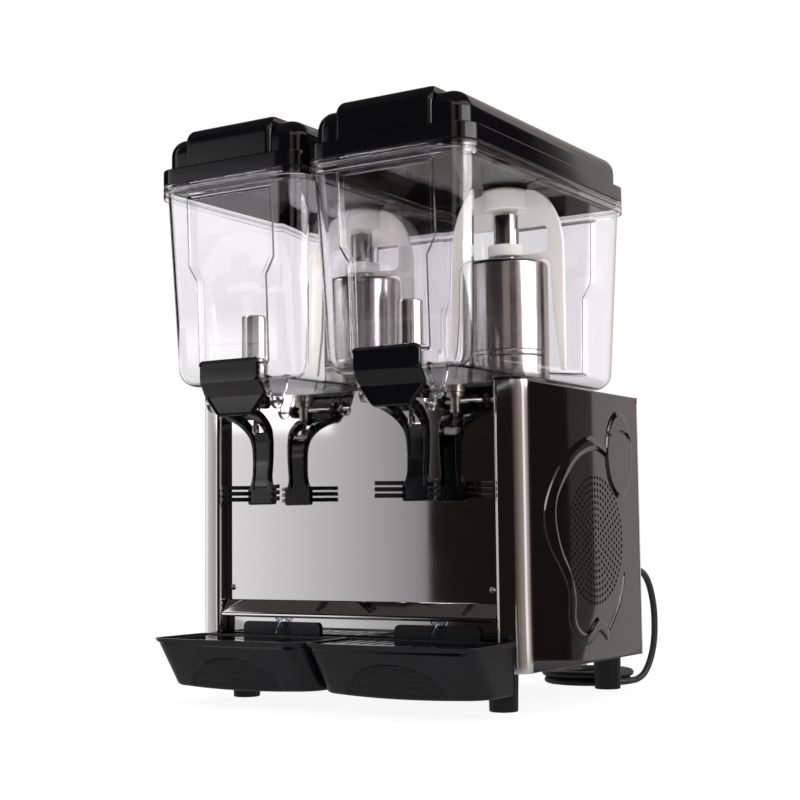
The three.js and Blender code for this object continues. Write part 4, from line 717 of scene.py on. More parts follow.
def tray_loop(inset, z, fan):
    """The tray's plan at one height. The front leans 30 mm back towards the floor and bows by up to 7 mm
    there. The fan, a half ellipse 128 wide and 35 high, is sunk more and more upwards, in six louvres."""
    low = (tray_rim - z) / (tray_rim - tray_floor)
    half, front, back = tray_half - inset, tray_front + 30 * low + inset, tray_back - inset
    corner = 20 - inset + 6 * low
    across = np.linspace(-half + corner, half - corner, 121)
    y = front + 7 * low * (across / (half - corner)) ** 2 - 3.5 * low
    height = z - tray_floor
    reach = 1 - np.hypot(across / 64, height / 35)
    tooth = np.mod(height, louvre_pitch) / louvre_pitch
    y += fan * (1 + height / 7 + 1.3 * tooth) * smooth_step(reach * 16)
    lead = y[0]
    left = arc((-half + corner, lead + corner), corner, 2, 3, 12)[:-1]
    right = arc((half - corner, lead + corner), corner, 3, 4, 12)[1:]
    loop = np.vstack([
        left, np.c_[across, y], right,
        arc((half - 4, back - 4), 4, 0, 1, 6),
        arc((-half + 4, back - 4), 4, 1, 2, 6),
    ])
    droop = 2 * low**3 * (1 - np.minimum(np.abs(loop[:, 0]) / half, 1) ** 2) * (loop[:, 1] < front + 30)
    return np.c_[loop, z - droop]


def tray_surfaces():
    """The tray as one skin: floor, louvred outside, rolled rim and inside. The heel at the rear is a block
    with the pocket for the hanger's tongue."""
    teeth = [tray_floor + louvre_pitch * (i + t) for i in range(louvres) for t in (0.02, 0.3, 0.6, 0.8, 0.98)]
    rows = [(3, tray_floor, 0), (1.4, tray_floor + 0.3, 1), (0.4, tray_floor + 1.2, 1)]
    rows += [(0, z, 1) for z in teeth if z > tray_floor + 1.5] + [(0, z, 0) for z in (57.5, 60, 65, 70.4)]
    rows += [(-1.4, 70.7, 0), (-1.9, 71.2, 0), (-2, 74.2, 0), (-1.7, 74.8, 0), (-1, 75, 0)]
    rows += [(1.7, 75, 0), (2.3, 74.7, 0), (2.5, 74, 0), (2.5, 66.6, 0), (4.5, 66.6, 0)]
    rows += [(4.5, 60, 0), (5, 50, 0.8), (5, 35, 0.8), (6, 25.5, 0.8), (8, 23.5, 0)]
    heel, pocket = (
        np.array([(-a, low), (a, low), (a, high), (-a, high)])
        for a, low, high in ((52, 52, 71), (46.5, 61.5, 65.9))
    )
    block = [(heel, -168.3), (heel, -151.2), (pocket, -151.2), (pocket, -162.6)]
    return [
        joined(np.stack([tray_loop(*row) for row in rows])),
        joined(np.stack([stood(loop, y, "y") for loop, y in block])),
    ]


both("moulded_tray", tray_surfaces(), satin_plastic, "tray", "drip_tray", "black_plastic", sharp=30)
grid_low, grid_high, slots_half, slots_front, slots_rear, bar_pitch = 67, 73.5, 85.6, -228, -180.5, 16.32


def grid_surfaces():
    """A slotted grid: a frame between the tray's plan and the slots' rectangle, and ten bars across, half
    a pitch apart."""
    plan, small = (tray_loop(inset, tray_rim, 0)[:, :2] for inset in (3.1, 3.7))
    hole = np.c_[np.clip(plan[:, 0], -slots_half, slots_half), np.clip(plan[:, 1], slots_front, slots_rear)]
    rows = [(plan, grid_low), (plan, 72.9), (small, grid_high), (hole, grid_high), (hole, grid_low)]
    surfaces = [joined(np.stack([stood(loop, z, "z") for loop, z in rows]), closed_along=True)]
    for i in range(10):
        low = 8 - slots_half + bar_pitch * i
        high = low + 8.32
        bar = np.array([(low, grid_low), (high, grid_low), (high, grid_high), (low, grid_high)])
        surfaces.append(joined(np.stack([stood(bar, y, "y") for y in (slots_front - 0.2, slots_rear + 0.2)])))
    return surfaces


both("slotted_grid", grid_surfaces(), gloss_plastic, "grid", "tray_grid", "black_gloss", weld=0)

# Evaporators and drive shafts
# Each is a deep-drawn stainless cylinder with a thinner tube on its top for the drive shaft. Two fine
# grooves run round it near the foot. A grey rubber ring seals the bowl on it.
evaporator_y = 20


def evaporator_profile():
    """Half the section: flange, foot, two grooves, wall, rounded shoulder, tube and the bore inside."""
    grooves = [point for z in (391, 398) for point in ((48, z - 0.9), (47.4, z), (48, z + 0.9))]
    return np.vstack([
        [(45.5, 347.2), (60, 347.2), (60, 352.2), (49.2, 352.2), (48, 353.4), *grooves],
        arc((43, 499.2), 5, 0, 1, 8),
        [(16.25, 504.2), (14.75, 505.7), (14.75, 561.4), (14, 562.2), (6, 562.2), (6, 501.7), (45.5, 501.7)],
        [(45.5, 347.2)],
    ])


round_steel = skinned(
    "round_steel", (0.6, 0.57, 0.545), 0.2, 1, (420, 0.05, 16, 0.13, 0.24), (0.15, 0.15, 6),
)
seal_rubber = skinned("seal_rubber", (0.045, 0.045, 0.048), 0.7, 0, (1600, 0.4, 30, 0.6, 0.8))
both(
    "drawn_evaporator", [turned(evaporator_profile(), 96, (0, evaporator_y))], round_steel, "cabinet",
    "evaporator", "brushed_steel", sharp=40,
)
dress(seal_rubber, "seal_rubber", "bowl_seal_left", "bowl_seal_right")
dress(round_steel, "brushed_steel", "drive_shaft_left", "drive_shaft_right")

# Agitators
# Moulded in creamy white plastic in one piece: cap, ring and two flat blades that pass round the
# cylinder and push the juice.
white_plastic = skinned(
    "white_plastic", (0.93, 0.895, 0.85), 0.35, 0, (700, 0.05, 14, 0.28, 0.42),
    Subsurface_Weight=0.25, Subsurface_Scale=0.004,
)


def slab(outline, low, high, axis="x", edge=0.6):
    """A flat plate: an outline carried straight, its rims rounded by a quarter circle that draws each
    point in along the outline's own normal."""
    before, after = np.roll(outline, 1, 0), np.roll(outline, -1, 0)
    on = unit(after - outline)
    run = unit(unit(outline - before) + on)
    normal = np.stack([run[:, 1], -run[:, 0]], 1) / np.maximum((run * on).sum(1), 0.5)[:, None]
    area = (outline[:, 0] * after[:, 1] - after[:, 0] * outline[:, 1]).sum()
    normal *= np.sign(area)
    turn = np.linspace(0, quarter, 4)
    draw, at = edge * (1 - np.sin(turn)), edge * (1 - np.cos(turn))
    draws, places = np.r_[draw, draw[::-1]], np.r_[low + at, (high - at)[::-1]]
    return joined(np.stack([
        stood(outline - normal * inward, place, axis) for inward, place in zip(draws, places)
    ]))


def half_blade():
    """Outline of one blade with its half of the crown and the bar, in (x, z) from the shaft: out along the
    bar, down the inner edge, up the outer one, over an elliptical crown, and back round the window."""
    return np.vstack([
        [(16, 506.2), (52, 506.2), (58, 500.2), (61, 437.2), (69.6, 375.2), (70.6, 374.2)],
        [(74, 374.2), (75, 375.2)],
        arc((28, 515.2), (47, 75), 0, 1, 24),
        [(16, 590.2), (16, 546.2)],
        arc((47, 538.2), 8, 1, 0, 8),
        arc((47, 521.2), 8, 0, -1, 8),
        [(16, 513.2)],
    ])


cap_profile = np.vstack([
    [(0, 588.2), (4.3, 588.2), (4.3, 566.2), (27.6, 566.2), (28.5, 567.1)],
    arc((22.5, 586.2), 6, 0, 1, 9),
    [(0, 592.2)],
])
ring_profile = [
    (15.6, 511.5), (21.2, 511.5), (22, 512.3), (22, 524.4), (21.2, 525.2), (15.6, 525.2), (15.6, 511.5),
]
blades = [
    slab(half_blade() * (sign, 1), evaporator_y - 2.5, evaporator_y + 2.5, "y", 1.2) for sign in (-1, 1)
]
cap_and_ring = [
    turned(cap_profile, 72, (0, evaporator_y)), turned(ring_profile, 64, (0, evaporator_y)),
]
both(
    "moulded_agitator", [*blades, *cap_and_ring], white_plastic, "agitator", "agitator", "white_plastic",
    sharp=40,
)

# Bowls
# Injection moulded in clear polycarbonate, 3 mm thick: walls that lean out to a down-turned lip, a sunk
# panel in the middle of the front and the rear, and two ears under the front that hold the lever's pin.
bowl_half_width, bowl_front, bowl_rear = 102.6, -253.8, 151.7
bowl_foot, bowl_floor, bowl_rim, bowl_lip = 357, 360, 586.4, 572
panel_depth, panel_draft = 7, 3.2
step_shares, wide_shares, middle_shares = (np.linspace(0, 1, count)[:-1] for count in (7, 5, 9))
clear_plastic = finish("clear_plastic", (0.964, 0.95, 0.978), 0.02, Transmission_Weight=1.0, IOR=1.5)


def let_lamps_through(material):
    """Adds a Transparent shader that takes over for shadow and diffuse rays, so that the lamps light what
    stands behind the clear walls."""
    tree = material.node_tree
    rays, either = node(tree, "LightPath"), node(tree, "Math", "MAXIMUM")
    through, mix = node(tree, "BsdfTransparent"), node(tree, "MixShader")
    wire(
        tree, (rays, "Is Shadow Ray", either, 0), (rays, "Is Diffuse Ray", either, 1),
        (either, 0, mix, "Fac"), (tree.nodes["Principled BSDF"], 0, mix, 1), (through, 0, mix, 2),
        (mix, 0, tree.nodes["Material Output"], "Surface"),
    )


let_lamps_through(clear_plastic)


def walls(insets, radii, heights, edge_at, fractions):
    """Loops round the bowl or the lid: a rectangle drawn in by an inset, with round corners. The front
    and rear sides are divided at edge_at[row] left and right of their middle, and again by fractions."""
    inset, radius = np.asarray(insets, float)[:, None], np.asarray(radii, float)[:, None]
    edge = np.asarray(edge_at, float)
    half, front, rear = bowl_half_width - inset, bowl_front + inset, bowl_rear - inset
    turn = np.linspace(0, quarter, 11)[None, 1:-1]
    straight = half - radius
    knots = np.hstack([-straight, -edge[:, ::-1], edge, straight])
    part = np.arange(knots.shape[1] - 1).repeat([len(f) for f in fractions])
    share = np.concatenate(fractions)
    along = np.hstack([knots[:, part] * (1 - share) + knots[:, part + 1] * share, knots[:, -1:]])
    deep = np.linspace(0, 1, 25)[None, :]
    side_y = (front + radius) * (1 - deep) + (rear - radius) * deep
    side_x, flat = half * np.ones_like(side_y), np.ones_like(along)

    def corner(across, middle_y, start):
        return across * straight + radius * np.cos(start + turn), middle_y + radius * np.sin(start + turn)

    stretches = [
        (along, front * flat), corner(1, front + radius, 3 * quarter), (side_x, side_y),
        corner(1, rear - radius, 0), (-along, rear * flat), corner(-1, rear - radius, quarter),
        (-side_x, side_y[:, ::-1]), corner(-1, front + radius, 2 * quarter),
    ]
    xs, ys = (np.hstack([stretch[i] for stretch in stretches]) for i in (0, 1))
    zs = np.repeat(np.asarray(heights, float)[:, None], xs.shape[1], 1)
    return np.stack([xs, ys, zs], -1)


def panel_half_width(z, grow):
    """Half the sunk panel's width at a height: 44 below 473, 55 above 491.5, sloping between."""
    return np.interp(z, [473, 491.5], [44, 55]) + grow


def sunk(rings, grow):
    """Moves the front and rear walls inwards by the panel's depth inside its outline: the depth times a
    smooth step of the distance from the panel's sides, foot and head."""
    across, height = np.abs(rings[..., 0]), rings[..., 2]
    side = smooth_step((panel_half_width(height, grow) - across) / panel_draft + 0.5)
    foot = smooth_step((height - 380 + grow) / panel_draft + 0.5)
    head = smooth_step((569 + grow - height) / panel_draft + 0.5)
    depth = panel_depth * side * foot * head
    middle = (bowl_front + bowl_rear) / 2
    on_front = rings[..., 1] < bowl_front + 26
    on_rear = rings[..., 1] > bowl_rear - 26
    rings[..., 1] += depth * on_front - depth * on_rear
    return rings


def bowl_wall_rows(low, inset, grow, top):
    """Heights of a wall, closer where the sunk panel starts, turns and ends, with the inset that leans
    out evenly from 14 at the foot's edge to 5.5 at the lip, and the corner radius."""
    z = np.unique(np.r_[
        low, 378.4 - grow + np.linspace(0, 3.6, 7), 400, 425, 450, 473, np.linspace(473, 491.5, 5), 515, 540,
        567.2 + grow + np.linspace(0, 3.6, 7), top,
    ])
    z = z[(z >= low) & (z <= top)]
    lean = (z - 377) / 195
    return z, inset + 14 - 8.5 * lean, 24 - 1.5 * lean - inset


def bowl_surface():
    """The bowl's whole skin, from the edge of the evaporator's hole over the floor, up the outside, over
    the lip and rim, down the inside and back over the floor."""
    hole = 50
    rows = []

    def add(insets, radii, heights, grow):
        insets, radii, heights = (np.atleast_1d(np.asarray(a, float)) for a in (insets, radii, heights))
        edge = panel_half_width(heights, grow)
        edges = np.stack([edge - panel_draft / 2, edge + panel_draft / 2], 1)
        rows.append(sunk(walls(insets, radii, heights, edges, [
            wide_shares, step_shares, middle_shares, step_shares, wide_shares,
        ]), grow))

    turn = np.linspace(0, quarter, 9)
    back = 20 * (1 - np.sin(turn))
    add(14 + back, 24 - back, bowl_foot + 20 * (1 - np.cos(turn)), 0)
    z, inset, radius = bowl_wall_rows(377.2, 0, 0, bowl_lip)
    add(inset, radius, z, 0)
    add([5.4, 5, 2.6, 2, 2, 1.7, 0.6, 0, 0, 0.9, 0.9, 0, 0, 0.4, 1.4, 7.2, 8.1, 8.5],
        [22.5, 23, 25.4, 26, 26, 26.3, 27.4, 28, 28, 27.1, 27.1, 28, 28, 27.6, 26.6, 20.8, 19.9, 19.5],
        [582.6, 583.2, 583.2, 582.6, 573, 572.4, 572, 572.6, 577, 577.7, 578.9, 579.6, 584.6, 585.7, bowl_rim,
         bowl_rim, 586.1, 585.2], 0)
    z, inset, radius = bowl_wall_rows(377.2, 3, 3, bowl_lip)
    add(inset[::-1], radius[::-1], z[::-1], 3)
    turn = turn[::-1]
    back = 17 * (1 - np.sin(turn))
    add(17 + back, 21 - back, bowl_floor + 17 * (1 - np.cos(turn)), 3)
    skin = np.vstack(rows)

    def floor(ring, z):
        """Rings between a loop and the hole's edge, shares of the way along straight lines."""
        away = ring[:, :2] - (0, evaporator_y)
        circle = (0, evaporator_y) + hole * unit(away)
        share = np.array([0.3, 0.7, 1])[:, None, None]
        flat = ring[None, :, :2] * (1 - share) + circle * share
        return np.concatenate([flat, np.full((*flat.shape[:2], 1), z)], -1)

    below = floor(skin[0], bowl_foot)[::-1]
    above = floor(skin[-1], bowl_floor)
    return joined(np.vstack([below, skin, above]), closed_along=True)


def ear_outline():
    """Side view of an ear: straight down from the bowl's floor, round at its foot about the pin."""
    foot_z, foot_y = 336, -217
    return np.vstack([
        [(foot_y + 17.5, 362), (foot_y + 17.5, 352), (foot_y + 10.5, 340)],
        arc((foot_y, foot_z), 10, 0, -2, 16),
        [(foot_y - 10.5, 340), (foot_y - 17.5, 352), (foot_y - 17.5, 362)],
    ])


ears = [slab(ear_outline(), at, at + 5, "x", 0.8) for at in (-47.2, 42.2)]
both("clear_bowl", [bowl_surface(), *ears], clear_plastic, "bowl", "bowl", "clear_plastic", sharp=40)

# Taps
# Turned stainless parts: an upturned cup over the valve's seat, the nozzle under the bowl's floor, and the
# valve's piston, spring and rod.
tap_y = -197
warm_steel = skinned(
    "warm_steel", (0.62, 0.56, 0.5), 0.18, 1, (420, 0.04, 30, 0.12, 0.24), (0.2, 0.2, 5),
)
standpipe = np.vstack([
    [(0, 430.3), (11, 430.3), (11, 360.3)],
    eased([(11, 360.3), (14.5, 360.3), (14.5, 434.3), (0, 434.3)], [0.5, 2.2], 4),
])
nozzle = [
    (4.2, 320), (5.1, 320), (5.6, 320.6), (5.6, 336.6), (9, 337), (9.5, 337.6), (9.5, 342.4), (9, 343),
    (11.4, 343), (12, 343.6), (12, 346.2), (11.4, 346.8), (11.4, 348.2), (12, 348.8), (12, 356.1),
    (11.4, 356.7), (7.7, 356.7), (7.7, 361.8), (4.2, 361.8), (4.2, 320),
]
for name, profile, steel in (("standpipe", standpipe, round_steel), ("nozzle", nozzle, warm_steel)):
    both(f"turned_{name}", [turned(profile, 64, (0, tap_y))], steel, "bowl", name, "brushed_steel")
dress(
    warm_steel, "brushed_steel", "valve_piston_left", "valve_piston_right", "valve_spring_left",
    "valve_spring_right", "lever_pin_left", "lever_pin_right",
)

# Levers
# Moulded in glossy black plastic: a bordered head plate in front of the bowl, a plain slanting band, a
# bordered skirt, a yoke of two arms round the nozzle, a stem with two ribs and a pad with three bars.
pin_y, pin_z = -217, 334


def carried(path, half_wide, thick, middle=0, edge=0.8):
    """A flat bar: a rounded rectangle, half_wide across x and thick across the path, carried along a
    path of (y, z) points. Both sizes and the middle's x may change from point to point."""
    path = np.asarray(path, float)
    step = unit(np.gradient(path, axis=0))
    rings = []
    for (y, z), (run_y, run_z), wide, deep, at in zip(
        path, step, *(np.broadcast_to(a, len(path)) for a in (half_wide, thick, middle))
    ):
        loop = rounded_box_loop(wide, deep / 2, min(edge, deep / 2.1, wide / 1.1), 4)
        rings.append(np.stack([at + loop[:, 0], y - loop[:, 1] * run_z, z + loop[:, 1] * run_y], 1))
    return joined(np.stack(rings))


def bead(points, radius, facing=(0, -1, 0), closed=False):
    """A round raised line: a circle of eight points carried along a path, across the path and along the
    direction that the face looks in."""
    points = np.asarray(points, float)
    run = np.roll(points, -1, 0) - np.roll(points, 1, 0) if closed else np.gradient(points, axis=0)
    run = unit(run)
    across = unit(np.cross(run, facing))
    out = np.cross(across, run)
    turn = np.linspace(0, 2 * np.pi, 8, endpoint=False)[None, :, None]
    rings = points[:, None] + radius * (across[:, None] * np.cos(turn) + out[:, None] * np.sin(turn))
    return joined(rings, closed_along=closed)


border, pad_height = 1.7, 232.3
bar_heights = [(243.3, 238.8), (236.8, 232.1), (230.2, 225.4)]


def lever_surfaces():
    """Everything on one lever, about its bowl's middle line."""
    head, head_rim = (rounded_box_loop(*sizes, 7) + (0, 368.5) for sizes in ((41, 12.5, 5), (40, 11.5, 4.2)))
    head_border = stood(np.vstack([head_rim[-7:], head_rim[:14]]), -246, "y")
    made = [slab(head, -246, -242, "y", 1), bead(head_border, border)]
    face = np.array([
        (-244, 359), (-243.4, 357), (-232.9, 343.6), (-231.9, 342.2), (-231.8, 340.5), (-233.1, 322),
        (-233, 319.5),
    ])
    made.append(carried(face, [40.6, 41, 40.6, 40.2, 39.4, 24.5, 22.5], 4, 0, 1))
    made.append(bead([
        (-38.8, -233.9, 340.8), (-24.4, -235, 323), (-22, -235.1, 321), (22, -235.1, 321),
        (24.4, -235, 323), (38.8, -233.9, 340.8),
    ], border))
    cheek = np.vstack([
        [(-232, 345), (-232, 327), (-221, 326.5)],
        arc((pin_y, pin_z), 7.5, -1, 1, 10), [(-221, 343)],
    ])
    arm = flowing(np.array([
        (-231, 323, 0), (-221, 321.5, 0), (-209, 317.5, 0), (-198, 311.5, 0), (-189, 303, 0),
        (-184.5, 292, 0), (-183.2, 280, 0), (-183.6, 264, 0), (-185, 248, 0), (-185.4, 238, 0),
    ]), 4)[:, :2]
    share = np.linspace(0, 1, len(arm))
    wide = np.interp(share, [0, 0.12, 0.3, 0.5, 0.85, 0.93, 1], [6.5, 6.2, 4.2, 2.4, 2, 2.6, 5])
    thick = np.interp(share, [0, 0.2, 0.45, 0.6, 1], [6, 9, 10, 8, 7.4])
    away = np.interp(
        share, [0, 0.12, 0.3, 0.5, 0.62, 0.85, 0.93, 1], [18.5, 17, 14.4, 11.6, 10.6, 9.8, 11.4, 13],
    )
    for sign in (-1, 1):
        made.append(slab(cheek, *sorted((sign * 26, sign * 32)), "x", 1))
        made.append(carried(arm, wide, thick, sign * away, 1.2))
        bar = np.array([
            (14, -188.6), (18, -189.6), (26, -196.2), (38.6, -209), (40.8, -206.8), (28.6, -193.4),
            (20, -186.2), (14, -185),
        ])
        made += [slab(bar * (sign, 1), low, high, "z", 0.5) for high, low in bar_heights]
    web = np.array([(-189, 303.6), (-185.6, 296), (-183.6, 284), (-184, 266), (-185.4, 250), (-186, 238)])
    made.append(carried(web, [11.6, 11, 9.6, 8.8, 9.4, 14], 4, 0, 0.5))
    bridge = np.array([(-231, 323), (-224, 322.2), (-215, 320.2), (-207, 317.2)])
    made.append(carried(bridge, [21, 20, 17.5, 15.5], 3, 0, 0.5))
    made.append(slab(rounded_box_loop(18.3, 10.7, 3, 6) + (0, pad_height), -188, -182, "y", 1))
    pad_border = stood(rounded_box_loop(16.9, 9.3, 2.2, 6) + (0, pad_height), -188, "y")
    made.append(bead(pad_border, 0.55, closed=True))
    return made


both("moulded_lever", lever_surfaces(), gloss_plastic, "lever", "lever", "black_gloss", sharp=28)

# Lids
# Moulded in glossy black plastic: a flange on the bowl's rim, a box with round shoulders, a bulging band
# with a low plateau, and a flat plate that closes the underside. A dark matt disc under the plate is painted
# shade for the round recess above the agitator's cap.
lid_low, lid_flange, lid_shoulder, lining, lining_top = 586.7, 604.7, 622.1, 18.5, 641.5
band_half_width, band_half_length, band_corner, band_bulge, band_bend_z = 60, 194.85, 6, 18, 631


def lid_walls(insets, radii, heights):
    """The surface between the lid's loops at these heights."""
    edges = np.tile([30.0, 60.0], (len(insets), 1))
    return joined(walls(insets, radii, heights, edges, [np.linspace(0, 1, 4)[:-1]] * 5))


def lid_surface():
    """The lid's box, from its inner ceiling down the inside, round the skirt, out under the flange, up over
    the flange and the wall, and in over the round shoulder to the flat top."""
    turn = np.linspace(0, quarter, 11)
    inner, outer = 17 * (1 - np.cos(turn)), 20 * (1 - np.cos(turn))
    insets = np.r_[
        (11.5 + inner)[::-1], 11.5, 9.6, 9.1, 9.1, 0.6, 0, 0, 0.3, 1.4, 7.5, 8.5, 8.5 + outer,
    ]
    heights = np.r_[
        (lid_shoulder + 17 * np.sin(turn))[::-1], 580.4, 580.4, 580.9, lid_low, lid_low, 587.3,
        lid_flange - 1.6, lid_flange - 0.5, lid_flange, lid_flange, lid_flange + 1,
        lid_shoulder + 20 * np.sin(turn),
    ]
    return lid_walls(insets, np.clip(30 - insets - 2 * (insets < 8), 0.8, 28), heights)


def band_plan(inset):
    """Half the band's width and the radius of its corners, where it is drawn in by an inset."""
    return band_half_width - inset * 5 / band_bulge, band_corner - inset / 6


def band_over_lid():
    """The bulging band above the lid's box: a rounded rectangle drawn in over a quarter circle of 18 at
    its ends and of 5 at its sides to its flat top, from a foot that is hidden in the box's own roof."""
    turn = np.linspace(math.asin(9.4 / band_bulge), quarter, 13)
    rings = []
    for inset, z in zip(band_bulge * (1 - np.cos(turn)), band_bend_z + band_bulge * np.sin(turn)):
        half, corner = band_plan(inset)
        loop = rounded_box_loop(half, band_half_length - inset, corner, 10)
        rings.append(stood(loop - (0, cabinet_middle_y), z, "z"))
    return joined(np.stack(rings))


def band_end(face, wall, inward, foot, start):
    """The band's upright end under its bulge. At each height its plan runs along the face, round both
    corners of 6, and back along a line inside the box's wall, which leans in as the shoulder does. Inward
    is the way along y from the face to the lid's middle. The foot's heights are below the shoulder, and
    start is the shoulder's angle at which the rest begins."""
    rise = np.linspace(start, quarter, 9)
    height = np.r_[foot, lid_shoulder + lining * np.sin(rise), lining_top]
    lean = np.r_[np.zeros(len(foot)), lining * (1 - np.cos(rise)), lining]
    upper = np.clip((height - band_bend_z) / band_bulge, 0, 1)
    draw = band_bulge * (1 - np.sqrt(1 - upper**2))
    rings = []
    for z, back, inset in zip(height, wall + inward * lean, draw):
        half, radius = band_plan(inset)
        reach = inward * (back - face) - inset
        turn = np.linspace(0, math.acos(np.clip(1 - reach / radius, 0, 1)), 9)
        corner_x, corner_y = half - radius + radius * np.sin(turn), inset + radius * (1 - np.cos(turn))
        xs = np.r_[-corner_x[::-1], corner_x, corner_x[-1], -corner_x[-1]]
        ys = np.r_[corner_y[::-1], corner_y, reach + inset, reach + inset]
        rings.append(stood(np.c_[xs, face + inward * ys], z, "z")[::inward])
    return joined(np.stack(rings))


plateau = slab(rounded_box_loop(37.5, 172.75, 8, 8) + (2.5, -55.05), 640, 651.4, "z", 1.2)
ceiling = lid_walls(np.array([12, 11.6, 11.6, 12]), np.full(4, 18.0), [594, 594.3, 595.2, 595.5])
band_ends = [band_end(-250, -243.8, 1, [603, lid_shoulder], 0.15), band_end(139.7, 141.7, -1, [], 0.5)]
both(
    "moulded_lid", [lid_surface(), band_over_lid(), *band_ends, plateau, ceiling], gloss_plastic, "lid",
    "lid", "black_gloss",
)
# Painted shade: a dark matt disc where the lid has a shaded round recess over the agitator's cap.
shade_disc = turned([(0, 593.4), (25.4, 593.4), (26, 593.7), (26, 594.4), (0, 594.4)], 64, (0, evaporator_y))
both("lid_shade_disc", [shade_disc], matt_plastic, "lid")

# Studio
# A pale floor that takes the machine's shadow, a white room, three soft lamps, and curved cards round the
# machine, dark, tan and bright, that only reflections see: painted reflections and highlights. Reflections
# see the floor as a painted glow, dimmer near the machine.
floor_mesh = bpy.data.meshes.new("floor")
floor_mesh.from_pydata([(-40, -40, 0), (40, -40, 0), (40, 40, 0), (-40, 40, 0)], [], [(0, 1, 2, 3)])
floor = added("floor", floor_mesh)
floor_finish = finish("floor_finish", (0.95, 0.95, 0.95), 0.9)
floor_mesh.materials.append(floor_finish)
floor_tree = floor_finish.node_tree
paths, seen = node(floor_tree, "LightPath"), node(floor_tree, "Math", "MULTIPLY")
seen.inputs[1].default_value = 0.92
# Painted reflection: glossy rays see the floor as an emission whose strength rises from 0.29 near the machine
# to 1 beyond 1.1 m.
white, painted_floor_reflection = node(floor_tree, "Emission"), node(floor_tree, "Emission")
mixed, mirrored = node(floor_tree, "MixShader"), node(floor_tree, "MixShader")
place, reach = node(floor_tree, "NewGeometry"), node(floor_tree, "VectorMath", "LENGTH")
reflection_dimming = node(floor_tree, "MapRange", From_Min=0.55, From_Max=1.1, To_Min=0.29)
wire(
    floor_tree, (paths, "Is Camera Ray", seen, 0), (seen, 0, mixed, "Fac"),
    (floor_tree.nodes["Principled BSDF"], 0, mixed, 1), (white, 0, mixed, 2),
    (place, "Position", reach, 0), (reach, "Value", reflection_dimming, "Value"),
    (reflection_dimming, "Result", painted_floor_reflection, "Strength"), (paths, "Is Glossy Ray", mirrored, "Fac"),
    (mixed, 0, mirrored, 1), (painted_floor_reflection, 0, mirrored, 2),
    (mirrored, 0, floor_tree.nodes["Material Output"], "Surface"),
)

world = bpy.data.worlds.new("white_room")
world.use_nodes = True
bpy.context.scene.world = world
room = world.node_tree
sky = room.nodes["Background"]
sky.inputs["Color"].default_value = (1, 1, 1, 1)
rays, level = node(room, "LightPath"), node(room, "MapRange", To_Min=1.3, To_Max=1.0)
seen_or_mirrored, any_clear = node(room, "Math", "MAXIMUM"), node(room, "Math", "MAXIMUM")
wire(
    room, (rays, "Is Camera Ray", seen_or_mirrored, 0), (rays, "Is Glossy Ray", seen_or_mirrored, 1),
    (seen_or_mirrored, 0, any_clear, 0), (rays, "Is Transmission Ray", any_clear, 1),
    (any_clear, 0, level, "Value"), (level, "Result", sky, "Strength"),
)


lamp_target = Vector((0, 0, 0.3))


def soft_lamp(name, place, size, power):
    """A square area lamp at a place in metres, turned to the middle of the machine."""
    light = bpy.data.lights.new(name, "AREA")
    light.size, light.energy = size, power
    lamp = added(name, light)
    lamp.location = place
    lamp.visible_glossy = False
    lamp.rotation_mode = "QUATERNION"
    lamp.rotation_quaternion = (lamp_target - Vector(place)).to_track_quat("-Z", "Y")


card_reach, near_side, near_share, card_lift = 2.4, (0.215, 0), 0.24, 0.003


def reflected_card(name, start, end, low, high, shade, far_shade=None, glow=(1, 1), bounces=0.5):
    """A card curved about the machine, 2.4 m away, between two bearings in degrees from straight in front
    towards the right. Only rays with more glossy bounces than given see it. Its colour runs evenly from
    shade to far_shade, and its strength from its lower to its upper edge. One that starts at the floor
    also lies on it, from near the machine's right side out."""
    bearing = np.radians(np.linspace(start, end, 25))
    rim = card_reach * np.stack([np.sin(bearing), -np.cos(bearing)], 1)
    foot = near_side + (rim - near_side) * near_share
    rows = [(rim, low + card_lift, 0.0), (rim, high, 1.0)]
    if not low:
        rows.insert(0, (foot, card_lift, 0.0))
    mesh = bpy.data.meshes.new(name)
    mesh.from_pydata(np.vstack([stood(line, z, "z") for line, z, _ in rows]), [], [
        (i, i + 1, i + 26, i + 25) for row in range(len(rows) - 1) for i in range(25 * row, 25 * row + 24)
    ])
    across, upward = np.tile(np.linspace(0, 1, 25), len(rows)), np.repeat([up for *_, up in rows], 25)
    for title, values in (("along", across), ("up", upward)):
        mesh.attributes.new(title, "FLOAT", "POINT")
        mesh.attributes[title].data.foreach_set("value", values)
    card = added(name, mesh)
    material = bpy.data.materials.new(name)
    material.use_nodes = True
    tree = material.node_tree
    tree.nodes.remove(tree.nodes["Principled BSDF"])
    along, up = node(tree, "Attribute"), node(tree, "Attribute")
    along.attribute_name, up.attribute_name = "along", "up"
    ramp, light = node(tree, "ValToRGB"), node(tree, "Emission")
    for element, colour in zip(ramp.color_ramp.elements, (shade, far_shade or shade)):
        element.color = (*colour, 1)
    strength = node(tree, "MapRange", To_Min=glow[0], To_Max=glow[1])
    path, enough = node(tree, "LightPath"), node(tree, "Math", "GREATER_THAN")
    enough.inputs[1].default_value = bounces
    clear, mix = node(tree, "BsdfTransparent"), node(tree, "MixShader")
    wire(
        tree, (along, "Fac", ramp, "Fac"), (up, "Fac", strength, "Value"), (ramp, "Color", light, "Color"),
        (strength, "Result", light, "Strength"), (path, "Glossy Depth", enough, 0),
        (enough, 0, mix, "Fac"), (clear, 0, mix, 1), (light, 0, mix, 2),
        (mix, 0, tree.nodes["Material Output"], "Surface"),
    )
    mesh.materials.append(material)
    card.visible_camera = card.visible_diffuse = card.visible_shadow = False


